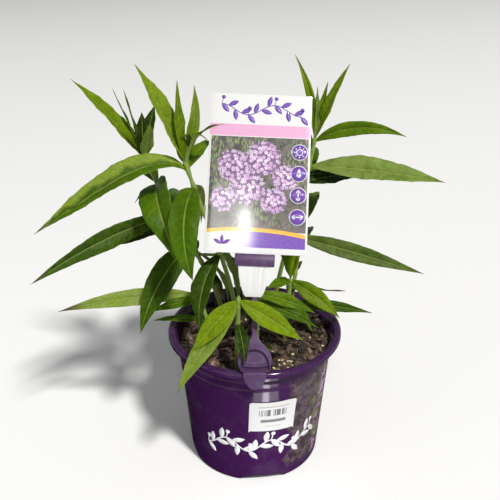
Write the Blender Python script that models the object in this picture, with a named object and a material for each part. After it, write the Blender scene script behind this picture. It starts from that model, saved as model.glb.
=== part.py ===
"""A young phlox in a plastic nursery pot, with its plant label held on the rim by a clip.

Sizes are in millimetres and are turned into metres when a mesh is made. The origin is the
middle of the pot's underside. +X is to the right of the label's front, +Y is behind it.
"""
import math
from collections import namedtuple

import bpy
import numpy as np

MM = 0.001
GAP = 0.3

# The pot: a tapered wall under a rolled rim, standing on a ring with arched notches.
POT_HEIGHT = 115.0
RIM_RADIUS = 70.0
RIM_DEPTH = 5.5
RIM_WIDTH = 5.0
RIM_EDGE = 0.6
RIM_ROUND = 1.5
RIM_CROWN = 0.3
RIM_UNDERCUT = 0.8
WALL_TOP_RADIUS = 62.8
WALL_FOOT_RADIUS = 53.6
WALL_THICKNESS = 1.6
WALL_TOP_Z = 108.0
RIDGE_HEIGHTS = (94.0, 101.0)
RIDGE_STAND = 0.7
RIDGE_SLOPE = 1.2
FLOOR_Z = 7.0
FLOOR_THICKNESS = 2.0
FOOT_PAD_RADIUS = 20.0
FOOT_PAD_DRAFT = 1.0
FOOT_CHAMFER = 1.6
POT_SIDES = 64
NOTCH_WIDTH = 37.0
NOTCH_HEIGHT = 4.8
NOTCH_EASE = 1.5
NOTCH_COUNT = 4
NOTCH_TURN = -83.0
DRAIN_RADIUS = 4.0
DRAIN_RING = 33.0
DRAIN_COUNT = 8
DRAIN_SIDES = 12
CUT_OVERRUN = 3.0

# The potting mix: lumpy on top, with a plain hole for each stem.
SOIL_TOP = 104.5
SOIL_CROWN = 1.5
SOIL_CROWN_REACH = 42.0
SOIL_LUMP_START = 20.0
SOIL_LUMPS = ((0.9, 3, 0.21, 0.4), (0.8, 5, 0.33, 2.1), (0.7, 8, 0.47, 4.4), (0.5, 13, 0.71, 1.3))
SOIL_RINGS = 9
SOIL_RING_EASE = 0.9
SOIL_SIDES = 44
STEM_HOLE_FLOOR = 86.0
STEM_HOLE_CLEARANCE = 1.8
STEM_HOLE_SIDES = 10
STEM_FOOT = STEM_HOLE_FLOOR + GAP

# The clip: a hook over the rim, a shield above it, a stake and a slotted head.
LEAN = 32.0
CLIP_X = -0.3
CLIP_START = (CLIP_X, -70.3, 117.4)
HOOK_WIDTH = 17.0
HOOK_THICKNESS = 1.6
HOOK_DROP = 14.5
HOOK_LEG_DROP = 8.0
HOOK_LEG_REACH = 60.2
HOOK_SINK = 0.2
SHIELD_THICKNESS = 3.0
SHIELD_HALF_WIDTHS = ((0, 10.2), (4, 12.0), (9, 12.6), (14, 11.6), (18.5, 8.0), (22, 4.4), (27, 2.1))
POCKET_WIDTH = 21.0
POCKET_LOW = 1.6
POCKET_HIGH = 16.0
POCKET_DEPTH = 1.2
POCKET_EASE = 0.8
STAKE_WIDTH = 4.2
STAKE_THICKNESS = 2.4
STAKE_FOOT = 20.0
STAKE_SHORTFALL = 1.0
HEAD_CENTRE = 81.6
HEAD_TURN = 2.6
HEAD_WIDTH = 29.6
HEAD_HEIGHT = 9.0
HEAD_WALL = 1.5

# The label: a card with a tongue that stands in the clip's head.
LABEL_WIDTH = 76.5
LABEL_HEIGHT = 122.0
LABEL_THICKNESS = 0.7
LABEL_CORNER = 1.5
TONGUE_WIDTHS = ((0.0, 12.4), (-9.5, 12.1), (-18.0, 11.0), (-26.0, 8.8), (-30.8, 6.9), (-32.0, 5.6))
SLOT_WIDTH = 25.4
SLOT_DEPTH = LABEL_THICKNESS + 2 * GAP

# The sticker, wrapped on the wall.
STICKER_WIDTH = 37.0
STICKER_HEIGHT = 28.5
STICKER_MIDDLE_Z = 68.0
STICKER_TURN = 13.5
STICKER_TILT = -2.0
STICKER_THICKNESS = 0.6
STICKER_COLUMNS = 9
STICKER_ROWS = 3

# Stems and leaves.
STEM_RADIUS_FOOT = 2.1
STEM_RADIUS_TOP = 1.3
STEM_SIDES = 7
STEM_STEPS = 9
BLADE_THICKNESS = 0.7
BLADE_WAVE = 0.7
WAVE_PACE = 15.0
WAVE_SHIFT = 2.4
SPINE_STEPS = 8
BLADE_EARLY = 0.8
BLADE_POINTED = 1.1
LEAST_HALF_WIDTHS = ((0.0, 1.0), (0.5, 0.8), (1.0, 0.4))
LONG_LEAF = 62.0
LONG_STATIONS = 9
SHORT_STATIONS = 7

# A leaf: the height on its stem where it joins, where its tip is, how many degrees it arches
# over, its width, how many degrees the blade is turned about its midrib, its bow sideways, how
# early it bends (1 is even, more is near the stem), and how many degrees each half folds up.
Leaf = namedtuple("Leaf", "joint tip bend width roll bow early fold", defaults=(0, 0, 1, 15))

# A shoot: where it leaves the soil, two points that its stem bends towards, its top, its leaves.
Shoot = namedtuple("Shoot", "foot low high top leaves")

SHOOTS = {
    "shoot_left_front": Shoot(
        (-12, -6, STEM_FOOT), (-12, -6, 165), (-36, -7, 200), (-52, -6, 260),
        (
            Leaf(247, (-157, -40, 213), 85, 22, 30, 0, 5, 24),
            Leaf(251, (-22, -15, 286), 85, 9),
            Leaf(254, (-33, -14, 273), 190, 8),
            Leaf(256, (-82, -12, 327), 4, 21, 36, 0, 1, 24),
            Leaf(258, (-54, -8, 315), -14, 9, 85),
            Leaf(258, (-43, 0, 310), -35, 9, -70),
            Leaf(250, (-34, 42, 257), 40, 10, -20),
            Leaf(236, (-45, -45, 179), 110, 23, 8, -40, 1, 20),
            Leaf(238, (-42, 14, 199), 90, 9),
            Leaf(182, (-41, -38, 132), 60, 19, -10, -25),
            Leaf(196, (-28, 28, 168), 50, 10),
            Leaf(215, (-6, 40, 226), 30, 15),
            Leaf(196, (-13, 8, 131), 30, 16),
        ),
    ),
    "shoot_left_back": Shoot(
        (-22, 12, STEM_FOOT), (-22, 12, 148), (-63, 20, 190), (-86, 26, 252),
        (
            Leaf(246, (-134, 20, 310), 12, 16, 30, 0, 1, 24),
            Leaf(250, (-105, 24, 302), 0, 4),
            Leaf(250, (-98, 30, 300), 0, 4),
            Leaf(250, (-86, 34, 282), 20, 13),
            Leaf(250, (-76, 40, 287), 10, 14),
            Leaf(248, (-77, 12, 280), -20, 11),
            Leaf(228, (-58, -35, 191), 110, 28, -35, -45, 1, 22),
            Leaf(222, (-95, 28, 210), 70, 9),
            Leaf(204, (-161, -50, 178), 24, 17, 80),
            Leaf(194, (-126, 10, 175), 22, 12, 30),
            Leaf(180, (-89, -25, 122), 50, 22, 40),
            Leaf(228, (-112, 88, 216), 60, 20),
            Leaf(202, (-66, 112, 182), 60, 18),
            Leaf(172, (-62, 66, 152), 50, 15),
            Leaf(174, (-22, 26, 120), 50, 15, 10),
            Leaf(164, (-23, -10, 140), 40, 9),
            Leaf(170, (-5, 12, 164), 30, 12, 20),
        ),
    ),
    "shoot_right_back": Shoot(
        (14, 22, STEM_FOOT), (14, 22, 155), (42, 42, 205), (48, 50, 260),
        (
            Leaf(254, (115, 25, 265), 58, 12, -85),
            Leaf(235, (146, 15, 232), 5, 23, -36, 15, 1, 18),
            Leaf(180, (139, 20, 151), 4, 15, -60),
            Leaf(222, (84, 56, 222), 30, 18, -30),
            Leaf(256, (48, 46, 299), 0, 7, 60),
            Leaf(256, (56, 48, 302), 0, 8, -60),
            Leaf(256, (71, 40, 317), 12, 9, -70),
            Leaf(256, (31, 60, 320), 35, 7, 70),
            Leaf(248, (14, 96, 262), 60, 15),
            Leaf(228, (98, 92, 216), 20, 14, -20),
            Leaf(222, (50, 128, 222), 60, 20),
            Leaf(186, (-26, 70, 176), 40, 15),
        ),
    ),
    "shoot_left_low": Shoot(
        (-32, -14, STEM_FOOT), (-32, -14, 118), (-42, -8, 135), (-46, -4, 152),
        (
            Leaf(146, (-159, 0, 127), 18, 14, 60),
            Leaf(142, (-82, -16, 136), 20, 9, 40),
            Leaf(125, (-82, 0, 119), 20, 7, 30),
        ),
    ),
    "shoot_back_middle": Shoot(
        (-8, 32, STEM_FOOT), (-8, 32, 150), (-10, 48, 185), (-14, 58, 218),
        (
            Leaf(214, (-40, 122, 198), 70, 19),
            Leaf(214, (14, 118, 202), 70, 18),
            Leaf(192, (-14, 138, 160), 80, 20),
            Leaf(216, (-24, 64, 254), 0, 9, 30),
            Leaf(216, (-6, 60, 250), 0, 9, -30),
            Leaf(215, (-16, 78, 246), 10, 11),
            Leaf(176, (-36, 112, 128), 60, 15),
            Leaf(150, (-2, 104, 118), 50, 14),
        ),
    ),
    "shoot_back_right": Shoot(
        (30, 28, STEM_FOOT), (30, 28, 132), (38, 46, 152), (40, 56, 182),
        (
            Leaf(160, (52, 132, 136), 60, 18),
            Leaf(176, (22, 122, 168), 60, 16),
            Leaf(178, (60, 118, 186), 50, 14),
            Leaf(180, (34, 66, 212), 0, 8, 30),
            Leaf(180, (44, 64, 210), 0, 8, -30),
            Leaf(142, (38, 96, 114), 60, 13),
        ),
    ),
    "rosette_front": Shoot(
        (-14, -44, STEM_FOOT), (-14, -44, 120), (-12, -50, 150), (-12, -51, 170),
        (
            Leaf(166, (-46, -66, 131), 12, 16, 45),
            Leaf(160, (-57, -74, 101), 25, 15, 45),
            Leaf(166, (35, -54, 134), 6, 16, -60),
            Leaf(146, (-7, -70, 124), 40, 10),
            Leaf(128, (18, -42, 116), 20, 8),
        ),
    ),
    "rosette_middle": Shoot(
        (2, -24, STEM_FOOT), (2, -24, 120), (1, -29, 140), (0, -30, 162),
        (
            Leaf(160, (46, -30, 143), 25, 11, -45),
            Leaf(154, (48, -38, 135), 15, 9, -45),
            Leaf(148, (22, 14, 134), 30, 9),
        ),
    ),
    "rosette_right": Shoot(
        (24, -8, STEM_FOOT), (24, -8, 120), (27, -6, 140), (28, -4, 160),
        (
            Leaf(158, (66, -20, 133), 22, 14, -55),
            Leaf(158, (9, -22, 160), 20, 9, 30),
            Leaf(140, (44, -32, 128), 40, 9),
            Leaf(154, (72, -5, 149), -15, 4),
            Leaf(160, (19, 10, 199), 0, 10),
            Leaf(160, (38, 6, 200), 0, 10),
            Leaf(146, (38, 34, 132), 40, 12),
            Leaf(138, (95, 0, 126), 14, 10, -50),
        ),
    ),
}


def clear_scene():
    """Remove whatever the file opened with."""
    for thing in list(bpy.data.objects):
        bpy.data.objects.remove(thing, do_unlink=True)


def plain_material(name, colour, roughness, metallic=0.0):
    """A Principled material of one colour."""
    material = bpy.data.materials.new(name)
    material.use_nodes = True
    shader = material.node_tree.nodes["Principled BSDF"]
    shader.inputs["Base Color"].default_value = (*colour, 1.0)
    shader.inputs["Roughness"].default_value = roughness
    shader.inputs["Metallic"].default_value = metallic
    return material


def solid(name, points, faces, material=None):
    """An object from points in millimetres and faces that point out."""
    mesh = bpy.data.meshes.new(name)
    mesh.from_pydata((np.asarray(points, float) * MM).tolist(), [], [list(map(int, face)) for face in faces])
    mesh.validate()
    thing = bpy.data.objects.new(name, mesh)
    bpy.context.scene.collection.objects.link(thing)
    if material:
        mesh.materials.append(material)
    return thing


def shade_round(thing, angle=35.0):
    """Smooth shading, with the edges sharper than angle kept sharp."""
    thing.data.shade_smooth()
    thing.data.set_sharp_from_angle(angle=math.radians(angle))


def ring_faces(rings, sides):
    """Quads between closed rings of points, ring after ring."""
    step = np.arange(sides)
    following = (step + 1) % sides
    faces = []
    for ring in range(rings - 1):
        low = ring * sides
        high = low + sides
        faces.extend(np.stack([low + step, low + following, high + following, high + step], 1).tolist())
    return faces


def turned(name, profile, sides, material=None, centre=(0.0, 0.0)):
    """A profile of (radius, height) turned about an upright axis, its first and last rings filled."""
    profile = np.asarray(profile, float)
    angle = np.arange(sides) * 2 * np.pi / sides
    radius = profile[:, 0, None]
    height = np.broadcast_to(profile[:, 1, None], (len(profile), sides))
    points = np.stack(
        [centre[0] + radius * np.cos(angle), centre[1] + radius * np.sin(angle), height], -1
    ).reshape(-1, 3)
    faces = ring_faces(len(profile), sides)
    faces.append(list(range(sides))[::-1])
    faces.append(list(range((len(profile) - 1) * sides, len(profile) * sides)))
    return solid(name, points, faces, material)


def apply_boolean(thing, operation, other=None, group=None, solver="EXACT"):
    """Cut or join with one object or with a collection, and keep only the result."""
    modifier = thing.modifiers.new(operation.lower(), "BOOLEAN")
    modifier.operation = operation
    modifier.solver = solver
    if group:
        modifier.operand_type = "COLLECTION"
        modifier.collection = group
    else:
        modifier.object = other
    bpy.context.view_layer.update()
    result = bpy.data.meshes.new_from_object(thing.evaluated_get(bpy.context.evaluated_depsgraph_get()))
    thing.modifiers.clear()
    thing.data = result
    removed = list(group.objects) if group else [other]
    for piece in removed:
        bpy.data.objects.remove(piece, do_unlink=True)
    if group:
        bpy.data.collections.remove(group)


def collect(name, things):
    """Move objects into a collection of their own."""
    group = bpy.data.collections.new(name)
    bpy.context.scene.collection.children.link(group)
    for thing in things:
        bpy.context.scene.collection.objects.unlink(thing)
        group.objects.link(thing)
    return group


def wall_radius(height):
    """Outer radius of the pot's tapered wall at a height."""
    share = height / WALL_TOP_Z
    return WALL_FOOT_RADIUS + (WALL_TOP_RADIUS - WALL_FOOT_RADIUS) * share


def pot_profile():
    """Up the outside from the foot, over the rolled rim and down the inside to the floor."""
    top = POT_HEIGHT
    outer = [
        (WALL_FOOT_RADIUS - FOOT_CHAMFER, 0.0),
        (WALL_FOOT_RADIUS - FOOT_CHAMFER / 4, FOOT_CHAMFER / 2),
        (wall_radius(FOOT_CHAMFER * 1.5), FOOT_CHAMFER * 1.5),
    ]
    for height in RIDGE_HEIGHTS:
        outer.append((wall_radius(height - RIDGE_SLOPE), height - RIDGE_SLOPE))
        outer.append((wall_radius(height) + RIDGE_STAND, height))
    neck = wall_radius(WALL_TOP_Z) + RIDGE_STAND
    outer.append((neck, top - RIM_DEPTH - RIM_UNDERCUT))
    rim = [
        (RIM_RADIUS - RIM_EDGE, top - RIM_DEPTH),
        (RIM_RADIUS, top - RIM_DEPTH + RIM_EDGE),
        (RIM_RADIUS, top - RIM_ROUND),
        (RIM_RADIUS - RIM_ROUND, top - RIM_CROWN),
        (RIM_RADIUS - RIM_WIDTH / 2, top),
        (RIM_RADIUS - RIM_WIDTH, top - 2 * RIM_CROWN),
    ]
    inner = [
        (neck - WALL_THICKNESS, top - RIM_DEPTH),
        (wall_radius(WALL_TOP_Z) - WALL_THICKNESS, WALL_TOP_Z - RIM_ROUND),
        (wall_radius(FLOOR_Z) - WALL_THICKNESS, FLOOR_Z),
    ]
    return outer + rim + inner


def make_pot(material):
    """The pot: one moulding with a wall, a floor with drain holes, a foot ring and a middle pad."""
    under = FLOOR_Z - FLOOR_THICKNESS
    foot_inside = WALL_FOOT_RADIUS - FOOT_CHAMFER - WALL_THICKNESS
    inside_of_foot = [
        (FOOT_PAD_RADIUS, 0.0),
        (FOOT_PAD_RADIUS + FOOT_PAD_DRAFT, under),
        (foot_inside, under),
        (foot_inside, 0.0),
    ]
    pot = turned("pot", inside_of_foot + pot_profile(), POT_SIDES, material)
    cutters = []
    for number in range(NOTCH_COUNT):
        turn = math.radians(NOTCH_TURN + number * 360.0 / NOTCH_COUNT)
        cutters.append(notch_cutter(turn, foot_inside - CUT_OVERRUN, WALL_FOOT_RADIUS + CUT_OVERRUN))
    for number in range(DRAIN_COUNT):
        turn = (number + 0.5) * 2 * math.pi / DRAIN_COUNT
        centre = (DRAIN_RING * math.cos(turn), DRAIN_RING * math.sin(turn))
        bore = [(DRAIN_RADIUS, under - CUT_OVERRUN), (DRAIN_RADIUS, FLOOR_Z + CUT_OVERRUN)]
        cutters.append(turned("drain", bore, DRAIN_SIDES, centre=centre))
    apply_boolean(pot, "DIFFERENCE", group=collect("pot cuts", cutters))
    shade_round(pot)
    return pot


def notch_cutter(turn, near, far):
    """A low arch, NOTCH_WIDTH wide, that runs outwards through the foot ring."""
    steps = 9
    sweep = np.linspace(0, np.pi, steps)
    across = np.cos(sweep) * NOTCH_WIDTH / 2
    up = np.sin(sweep) ** NOTCH_EASE * NOTCH_HEIGHT
    across = np.append(across, [-NOTCH_WIDTH / 2, NOTCH_WIDTH / 2])
    up = np.append(up, [-CUT_OVERRUN, -CUT_OVERRUN])
    outline = np.stack([across, up], 1)
    out = np.array([math.cos(turn), math.sin(turn), 0.0])
    side = np.array([-math.sin(turn), math.cos(turn), 0.0])
    return prism("notch", outline, side, np.array([0, 0, 1.0]), out, near, far)


def prism(name, outline, across, up, along, near, far, start=(0.0, 0.0, 0.0), material=None):
    """A closed outline in the plane of across and up, carried along from near to far."""
    outline = np.asarray(outline, float)
    start = np.asarray(start, float)
    flat = start + outline[:, :1] * across + outline[:, 1:] * up
    points = np.vstack([flat + along * near, flat + along * far])
    count = len(outline)
    step = np.arange(count)
    following = (step + 1) % count
    faces = np.stack([step, following, count + following, count + step], 1).tolist()
    faces.append(list(range(count))[::-1])
    faces.append(list(range(count, 2 * count)))
    area = np.sum(outline[:, 0] * np.roll(outline[:, 1], -1) - np.roll(outline[:, 0], -1) * outline[:, 1])
    if area * np.dot(np.cross(across, up), along) < 0:
        faces = [face[::-1] for face in faces]
    return solid(name, points, faces, material)


def soil_height(x, y):
    """Height of the potting mix: a slight crown with lumps from crossed waves."""
    distance = np.hypot(x, y)
    angle = np.arctan2(y, x)
    lumps = sum(
        size * np.sin(count * angle + phase) * np.cos(pace * distance + phase)
        for size, count, pace, phase in SOIL_LUMPS
    )
    fade = np.clip(distance / SOIL_LUMP_START, 0.0, 1.0)
    return SOIL_TOP + SOIL_CROWN * np.cos(distance / SOIL_CROWN_REACH) + lumps * fade


def make_soil(material):
    """The potting mix: it fills the pot to just under the rim, and stems stand in holes in it."""
    clear = WALL_THICKNESS + GAP
    top_radius = wall_radius(SOIL_TOP) - clear
    low_radius = wall_radius(FLOOR_Z + GAP) - clear
    angle = np.arange(SOIL_SIDES) * 2 * np.pi / SOIL_SIDES
    wave = 0.5 * (1 + np.cos(np.pi / SOIL_SIDES))
    rings = np.linspace(1.0, 0.0, SOIL_RINGS, endpoint=False) ** SOIL_RING_EASE * top_radius * wave
    x = rings[:, None] * np.cos(angle)
    y = rings[:, None] * np.sin(angle)
    top = np.stack([x, y, soil_height(x, y)], -1).reshape(-1, 3)
    low = low_radius * wave
    bottom = np.stack([low * np.cos(angle), low * np.sin(angle), np.full(SOIL_SIDES, FLOOR_Z + GAP)], -1)
    centre = [[0.0, 0.0, float(soil_height(0.0, 0.0))]]
    points = np.vstack([bottom, top, centre])
    faces = ring_faces(SOIL_RINGS + 1, SOIL_SIDES)
    faces.append(list(range(SOIL_SIDES))[::-1])
    last = SOIL_RINGS * SOIL_SIDES
    peak = len(points) - 1
    faces.extend([last + i, last + (i + 1) % SOIL_SIDES, peak] for i in range(SOIL_SIDES))
    soil = solid("potting_mix", points, faces, material)
    hole_radius = STEM_RADIUS_FOOT + STEM_HOLE_CLEARANCE
    bore = [(hole_radius, STEM_HOLE_FLOOR), (hole_radius, POT_HEIGHT)]
    holes = [turned("hole", bore, STEM_HOLE_SIDES, centre=shoot.foot[:2]) for shoot in SHOOTS.values()]
    apply_boolean(soil, "DIFFERENCE", group=collect("stem holes", holes))
    shade_round(soil)
    return soil


def lean_axes(turn=0.0):
    """The clip's own directions: across it, up the stake, and out of its front."""
    lean = math.radians(LEAN)
    turn = math.radians(turn)
    side = np.array([1.0, 0.0, 0.0])
    rise = np.array([0.0, math.sin(lean), math.cos(lean)])
    across = side * math.cos(turn) - rise * math.sin(turn)
    up = rise * math.cos(turn) + side * math.sin(turn)
    front = np.cross(across, up)
    return across, up, front


def block(name, start, axes, low, high):
    """A box between two corners given along three directions."""
    across, up, front = axes
    outline = [(low[0], low[1]), (high[0], low[1]), (high[0], high[1]), (low[0], high[1])]
    return prism(name, outline, across, up, front, low[2], high[2], start)


def shield_outline():
    """The shield's outline: both sides of its half widths, bottom to top and down again."""
    right = [(half, rise) for rise, half in SHIELD_HALF_WIDTHS]
    left = [(-half, rise) for half, rise in reversed(right)]
    return right + left


def pocket_outline():
    """A D lying on its flat side: two corners and a round top."""
    half = POCKET_WIDTH / 2
    sweep = np.linspace(0, np.pi, 11)
    height = POCKET_HIGH - POCKET_LOW
    return [(half * math.cos(a), POCKET_LOW + height * math.sin(a) ** POCKET_EASE) for a in sweep]


def head_place():
    """The middle of the clip's head."""
    return np.array(CLIP_START) + lean_axes()[1] * HEAD_CENTRE


def make_clip(material):
    """The clip: shield, stake, slotted head and the hook that sits over the rim."""
    start = np.array(CLIP_START)
    axes = lean_axes()
    across, up, front = axes
    shield = prism(
        "label_clip", shield_outline(), across, up, front, -SHIELD_THICKNESS, 0.0, start, material)
    back = -SLOT_DEPTH / 2
    stake_top = HEAD_CENTRE + HEAD_HEIGHT / 2 - STAKE_SHORTFALL
    stake = block("stake", start, axes, (-STAKE_WIDTH / 2, STAKE_FOOT, back - STAKE_THICKNESS),
                  (STAKE_WIDTH / 2, stake_top, back))
    head_axes = lean_axes(HEAD_TURN)
    front_face = SLOT_DEPTH / 2 + HEAD_WALL
    head = block("head", head_place(), head_axes, (-HEAD_WIDTH / 2, -HEAD_HEIGHT / 2, -front_face),
                 (HEAD_WIDTH / 2, HEAD_HEIGHT / 2, front_face))
    slot = block("slot", head_place(), head_axes, (-SLOT_WIDTH / 2, -HEAD_HEIGHT, back),
                 (SLOT_WIDTH / 2, HEAD_HEIGHT, -back))
    apply_boolean(head, "DIFFERENCE", other=slot)
    upright = (np.array([1.0, 0, 0]), np.array([0, 0, 1.0]), np.array([0, -1.0, 0]))
    half = HOOK_WIDTH / 2
    outer = RIM_RADIUS + GAP
    rise = start[2] - HOOK_SINK
    sweep = np.linspace(0, np.pi, 9)
    flap_outline = [(CLIP_X + half * math.cos(a), rise - HOOK_DROP * math.sin(a)) for a in sweep]
    flap = prism("flap", flap_outline, *upright, outer, outer + HOOK_THICKNESS)
    inner = HOOK_LEG_REACH - HOOK_THICKNESS
    bridge = block("bridge", (CLIP_X, 0, 0), upright, (-half, POT_HEIGHT + GAP, inner),
                   (half, rise, outer + HOOK_THICKNESS))
    leg = block("leg", (CLIP_X, 0, 0), upright, (-half, POT_HEIGHT - HOOK_LEG_DROP, inner),
                (half, rise, HOOK_LEG_REACH))
    apply_boolean(shield, "UNION", group=collect("clip", [stake, head, flap, bridge, leg]))
    pocket = prism("pocket", pocket_outline(), across, up, front, -POCKET_DEPTH, 1.0, start)
    apply_boolean(shield, "DIFFERENCE", other=pocket)
    shade_round(shield)
    return shield


def label_outline():
    """The card's outline from its tongue's end, anticlockwise: tongue, shoulder and rounded corners."""
    half = LABEL_WIDTH / 2
    round_off = LABEL_CORNER
    right = [(width, rise) for rise, width in reversed(TONGUE_WIDTHS)]
    corners = [(half - round_off, round_off, -90), (half - round_off, LABEL_HEIGHT - round_off, 0)]
    for x, z, first in corners:
        for turn in (0, 45, 90):
            angle = math.radians(first + turn)
            right.append((x + round_off * math.cos(angle), z + round_off * math.sin(angle)))
    left = [(-x, z) for x, z in reversed(right)]
    return right + left


def make_label(material):
    """The plant label: a thin card that leans back with its tongue in the clip."""
    axes = lean_axes(HEAD_TURN)
    start = head_place() + axes[1] * (HEAD_HEIGHT / 2 + GAP)
    half = LABEL_THICKNESS / 2
    return prism("plant_label", label_outline(), *axes, -half, half, start, material)


def make_sticker(material):
    """The sticker: a thin curved plate a hair off the wall."""
    columns = STICKER_COLUMNS
    rows = STICKER_ROWS
    middle = math.radians(STICKER_TURN - 90.0)
    tilt = math.radians(STICKER_TILT)
    along = np.linspace(-0.5, 0.5, columns) * STICKER_WIDTH
    rise = np.linspace(-0.5, 0.5, rows) * STICKER_HEIGHT
    u, v = np.meshgrid(along, rise)
    run = u * math.cos(tilt) - v * math.sin(tilt)
    height = STICKER_MIDDLE_Z + u * math.sin(tilt) + v * math.cos(tilt)
    angle = middle + run / wall_radius(STICKER_MIDDLE_Z)

    def skin(stand):
        radius = wall_radius(height) + stand
        return np.stack([radius * np.cos(angle), radius * np.sin(angle), height], -1).reshape(-1, 3)

    outside = skin(GAP + STICKER_THICKNESS)
    inside = skin(GAP)
    count = rows * columns
    faces = []
    for row in range(rows - 1):
        for column in range(columns - 1):
            a = row * columns + column
            quad = [a, a + 1, a + columns + 1, a + columns]
            faces.append(quad)
            faces.append([count + corner for corner in reversed(quad)])
    border = list(range(columns)) + [row * columns + columns - 1 for row in range(1, rows)]
    border += list(range((rows - 1) * columns + columns - 2, (rows - 1) * columns - 1, -1))
    border += [row * columns for row in range(rows - 2, 0, -1)]
    for here, following in zip(border, border[1:] + border[:1]):
        faces.append([here, count + here, count + following, following])
    return solid("pot_sticker", np.vstack([outside, inside]), faces, material)


def stem_path(shoot, share):
    """Points on a shoot's stem: a cubic curve from its foot to its top, share running 0 to 1."""
    foot, low, high, top = (np.asarray(point, float) for point in shoot[:4])
    share = np.asarray(share, float)[..., None]
    rest = 1 - share
    return foot * rest**3 + 3 * low * share * rest**2 + 3 * high * share**2 * rest + top * share**3


def stem_point(shoot, height):
    """The point on the stem's axis at a height."""
    path = stem_path(shoot, np.linspace(0, 1, 201))
    return np.array([np.interp(height, path[:, 2], path[:, axis]) for axis in range(3)])


def make_stem(name, shoot, material):
    """The stem: a round tube that thins towards its top."""
    share = np.linspace(0, 1, STEM_STEPS)
    path = stem_path(shoot, share)
    ahead = np.gradient(path, axis=0)
    ahead /= np.linalg.norm(ahead, axis=1)[:, None]
    side = np.cross(ahead, [0.0, 1.0, 0.0])
    side /= np.linalg.norm(side, axis=1)[:, None]
    other = np.cross(ahead, side)
    radius = STEM_RADIUS_FOOT + (STEM_RADIUS_TOP - STEM_RADIUS_FOOT) * share
    angle = np.arange(STEM_SIDES) * 2 * np.pi / STEM_SIDES
    spokes = side[:, None] * np.cos(angle)[:, None] + other[:, None] * np.sin(angle)[:, None]
    points = (path[:, None] + spokes * radius[:, None, None]).reshape(-1, 3)
    faces = ring_faces(STEM_STEPS, STEM_SIDES)
    faces.append(list(range(STEM_SIDES))[::-1])
    faces.append(list(range((STEM_STEPS - 1) * STEM_SIDES, STEM_STEPS * STEM_SIDES)))
    return solid(name, points, faces, material)


def leaf_spine(base, leaf, stations):
    """The midrib: an arc from base to tip, bent over by leaf.bend and sideways by leaf.bow."""
    tip = np.asarray(leaf.tip, float)
    chord = tip - base
    length = np.linalg.norm(chord)
    heading = math.atan2(chord[1], chord[0])
    ahead = chord / length
    side = np.array([-math.sin(heading), math.cos(heading), 0.0])
    over = np.cross(ahead, side)
    fine = SPINE_STEPS * (stations - 1)
    middle = (np.arange(fine) + 0.5) / fine
    turn = (1 - middle) ** leaf.early - 1 / (1 + leaf.early)
    pitch = math.radians(leaf.bend) * turn
    yaw = math.radians(leaf.bow) * turn
    step = (
        (np.cos(pitch) * np.cos(yaw))[:, None] * ahead
        + np.sin(pitch)[:, None] * over
        + (np.cos(pitch) * np.sin(yaw))[:, None] * side
    )
    run = np.vstack([np.zeros(3), np.cumsum(step, 0)])
    run *= length / np.dot(run[-1], ahead)
    run += np.linspace(0, 1, fine + 1)[:, None] * (chord - run[-1])
    return (base + run)[::SPINE_STEPS], side


def leaf_half_width(share):
    """Half width from base to tip as a share of the widest: a lance shape, broadest before its middle."""
    return np.sin(np.pi * share**BLADE_EARLY) ** BLADE_POINTED


def make_leaf(number, base, leaf):
    """One blade: folded a little along its midrib, its edges slightly waved, closed all round."""
    long_way = np.linalg.norm(np.asarray(leaf.tip, float) - base)
    stations = LONG_STATIONS if long_way > LONG_LEAF else SHORT_STATIONS
    spine, side = leaf_spine(base, leaf, stations)
    ahead = np.gradient(spine, axis=0)
    ahead /= np.linalg.norm(ahead, axis=1)[:, None]
    across = side - (ahead @ side)[:, None] * ahead
    across /= np.linalg.norm(across, axis=1)[:, None]
    normal = np.cross(ahead, across)
    roll = math.radians(leaf.roll)
    across, normal = (
        across * math.cos(roll) - normal * math.sin(roll),
        normal * math.cos(roll) + across * math.sin(roll),
    )
    share = np.linspace(0, 1, stations)
    half = leaf_half_width(share) * leaf.width / 2
    half = np.maximum(half, np.interp(share, *zip(*LEAST_HALF_WIDTHS)))
    fold = math.radians(leaf.fold)
    wave = BLADE_WAVE * np.sin(np.pi * share) * np.sin(share * WAVE_PACE + number * WAVE_SHIFT)
    lift_left = half * math.sin(fold) + wave
    lift_right = half * math.sin(fold) - wave
    reach = half * math.cos(fold)
    left = spine + across * reach[:, None] + normal * lift_left[:, None]
    right = spine - across * reach[:, None] + normal * lift_right[:, None]
    thick = normal * BLADE_THICKNESS / 2
    upper = [left + thick, spine + thick, right + thick]
    lower = [right - thick, spine - thick, left - thick]
    points = np.stack(upper + lower, 1).reshape(-1, 3)
    faces = []
    for station in range(stations - 1):
        low = station * 6
        for corner in range(6):
            after = (corner + 1) % 6
            a, b, c, d = low + corner, low + after, low + 6 + after, low + 6 + corner
            if corner in (0, 4):
                faces += [[a, b, c], [a, c, d]]
            else:
                faces += [[a, b, d], [b, c, d]]
    faces += [[0, 5, 4], [0, 4, 1], [1, 4, 3], [1, 3, 2]]
    end = (stations - 1) * 6
    faces += [[end, end + 4, end + 5], [end, end + 1, end + 4]]
    faces += [[end + 1, end + 3, end + 4], [end + 1, end + 2, end + 3]]
    return solid("leaf", points, faces)


def make_shoot(name, shoot, material):
    """One shoot: its stem with every leaf fused into it."""
    stem = make_stem(name, shoot, material)
    leaves = [
        make_leaf(number, stem_point(shoot, leaf.joint), leaf)
        for number, leaf in enumerate(shoot.leaves)
    ]
    apply_boolean(stem, "UNION", group=collect(name + " leaves", leaves), solver="MANIFOLD")
    shade_round(stem, 50.0)
    return stem


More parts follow.
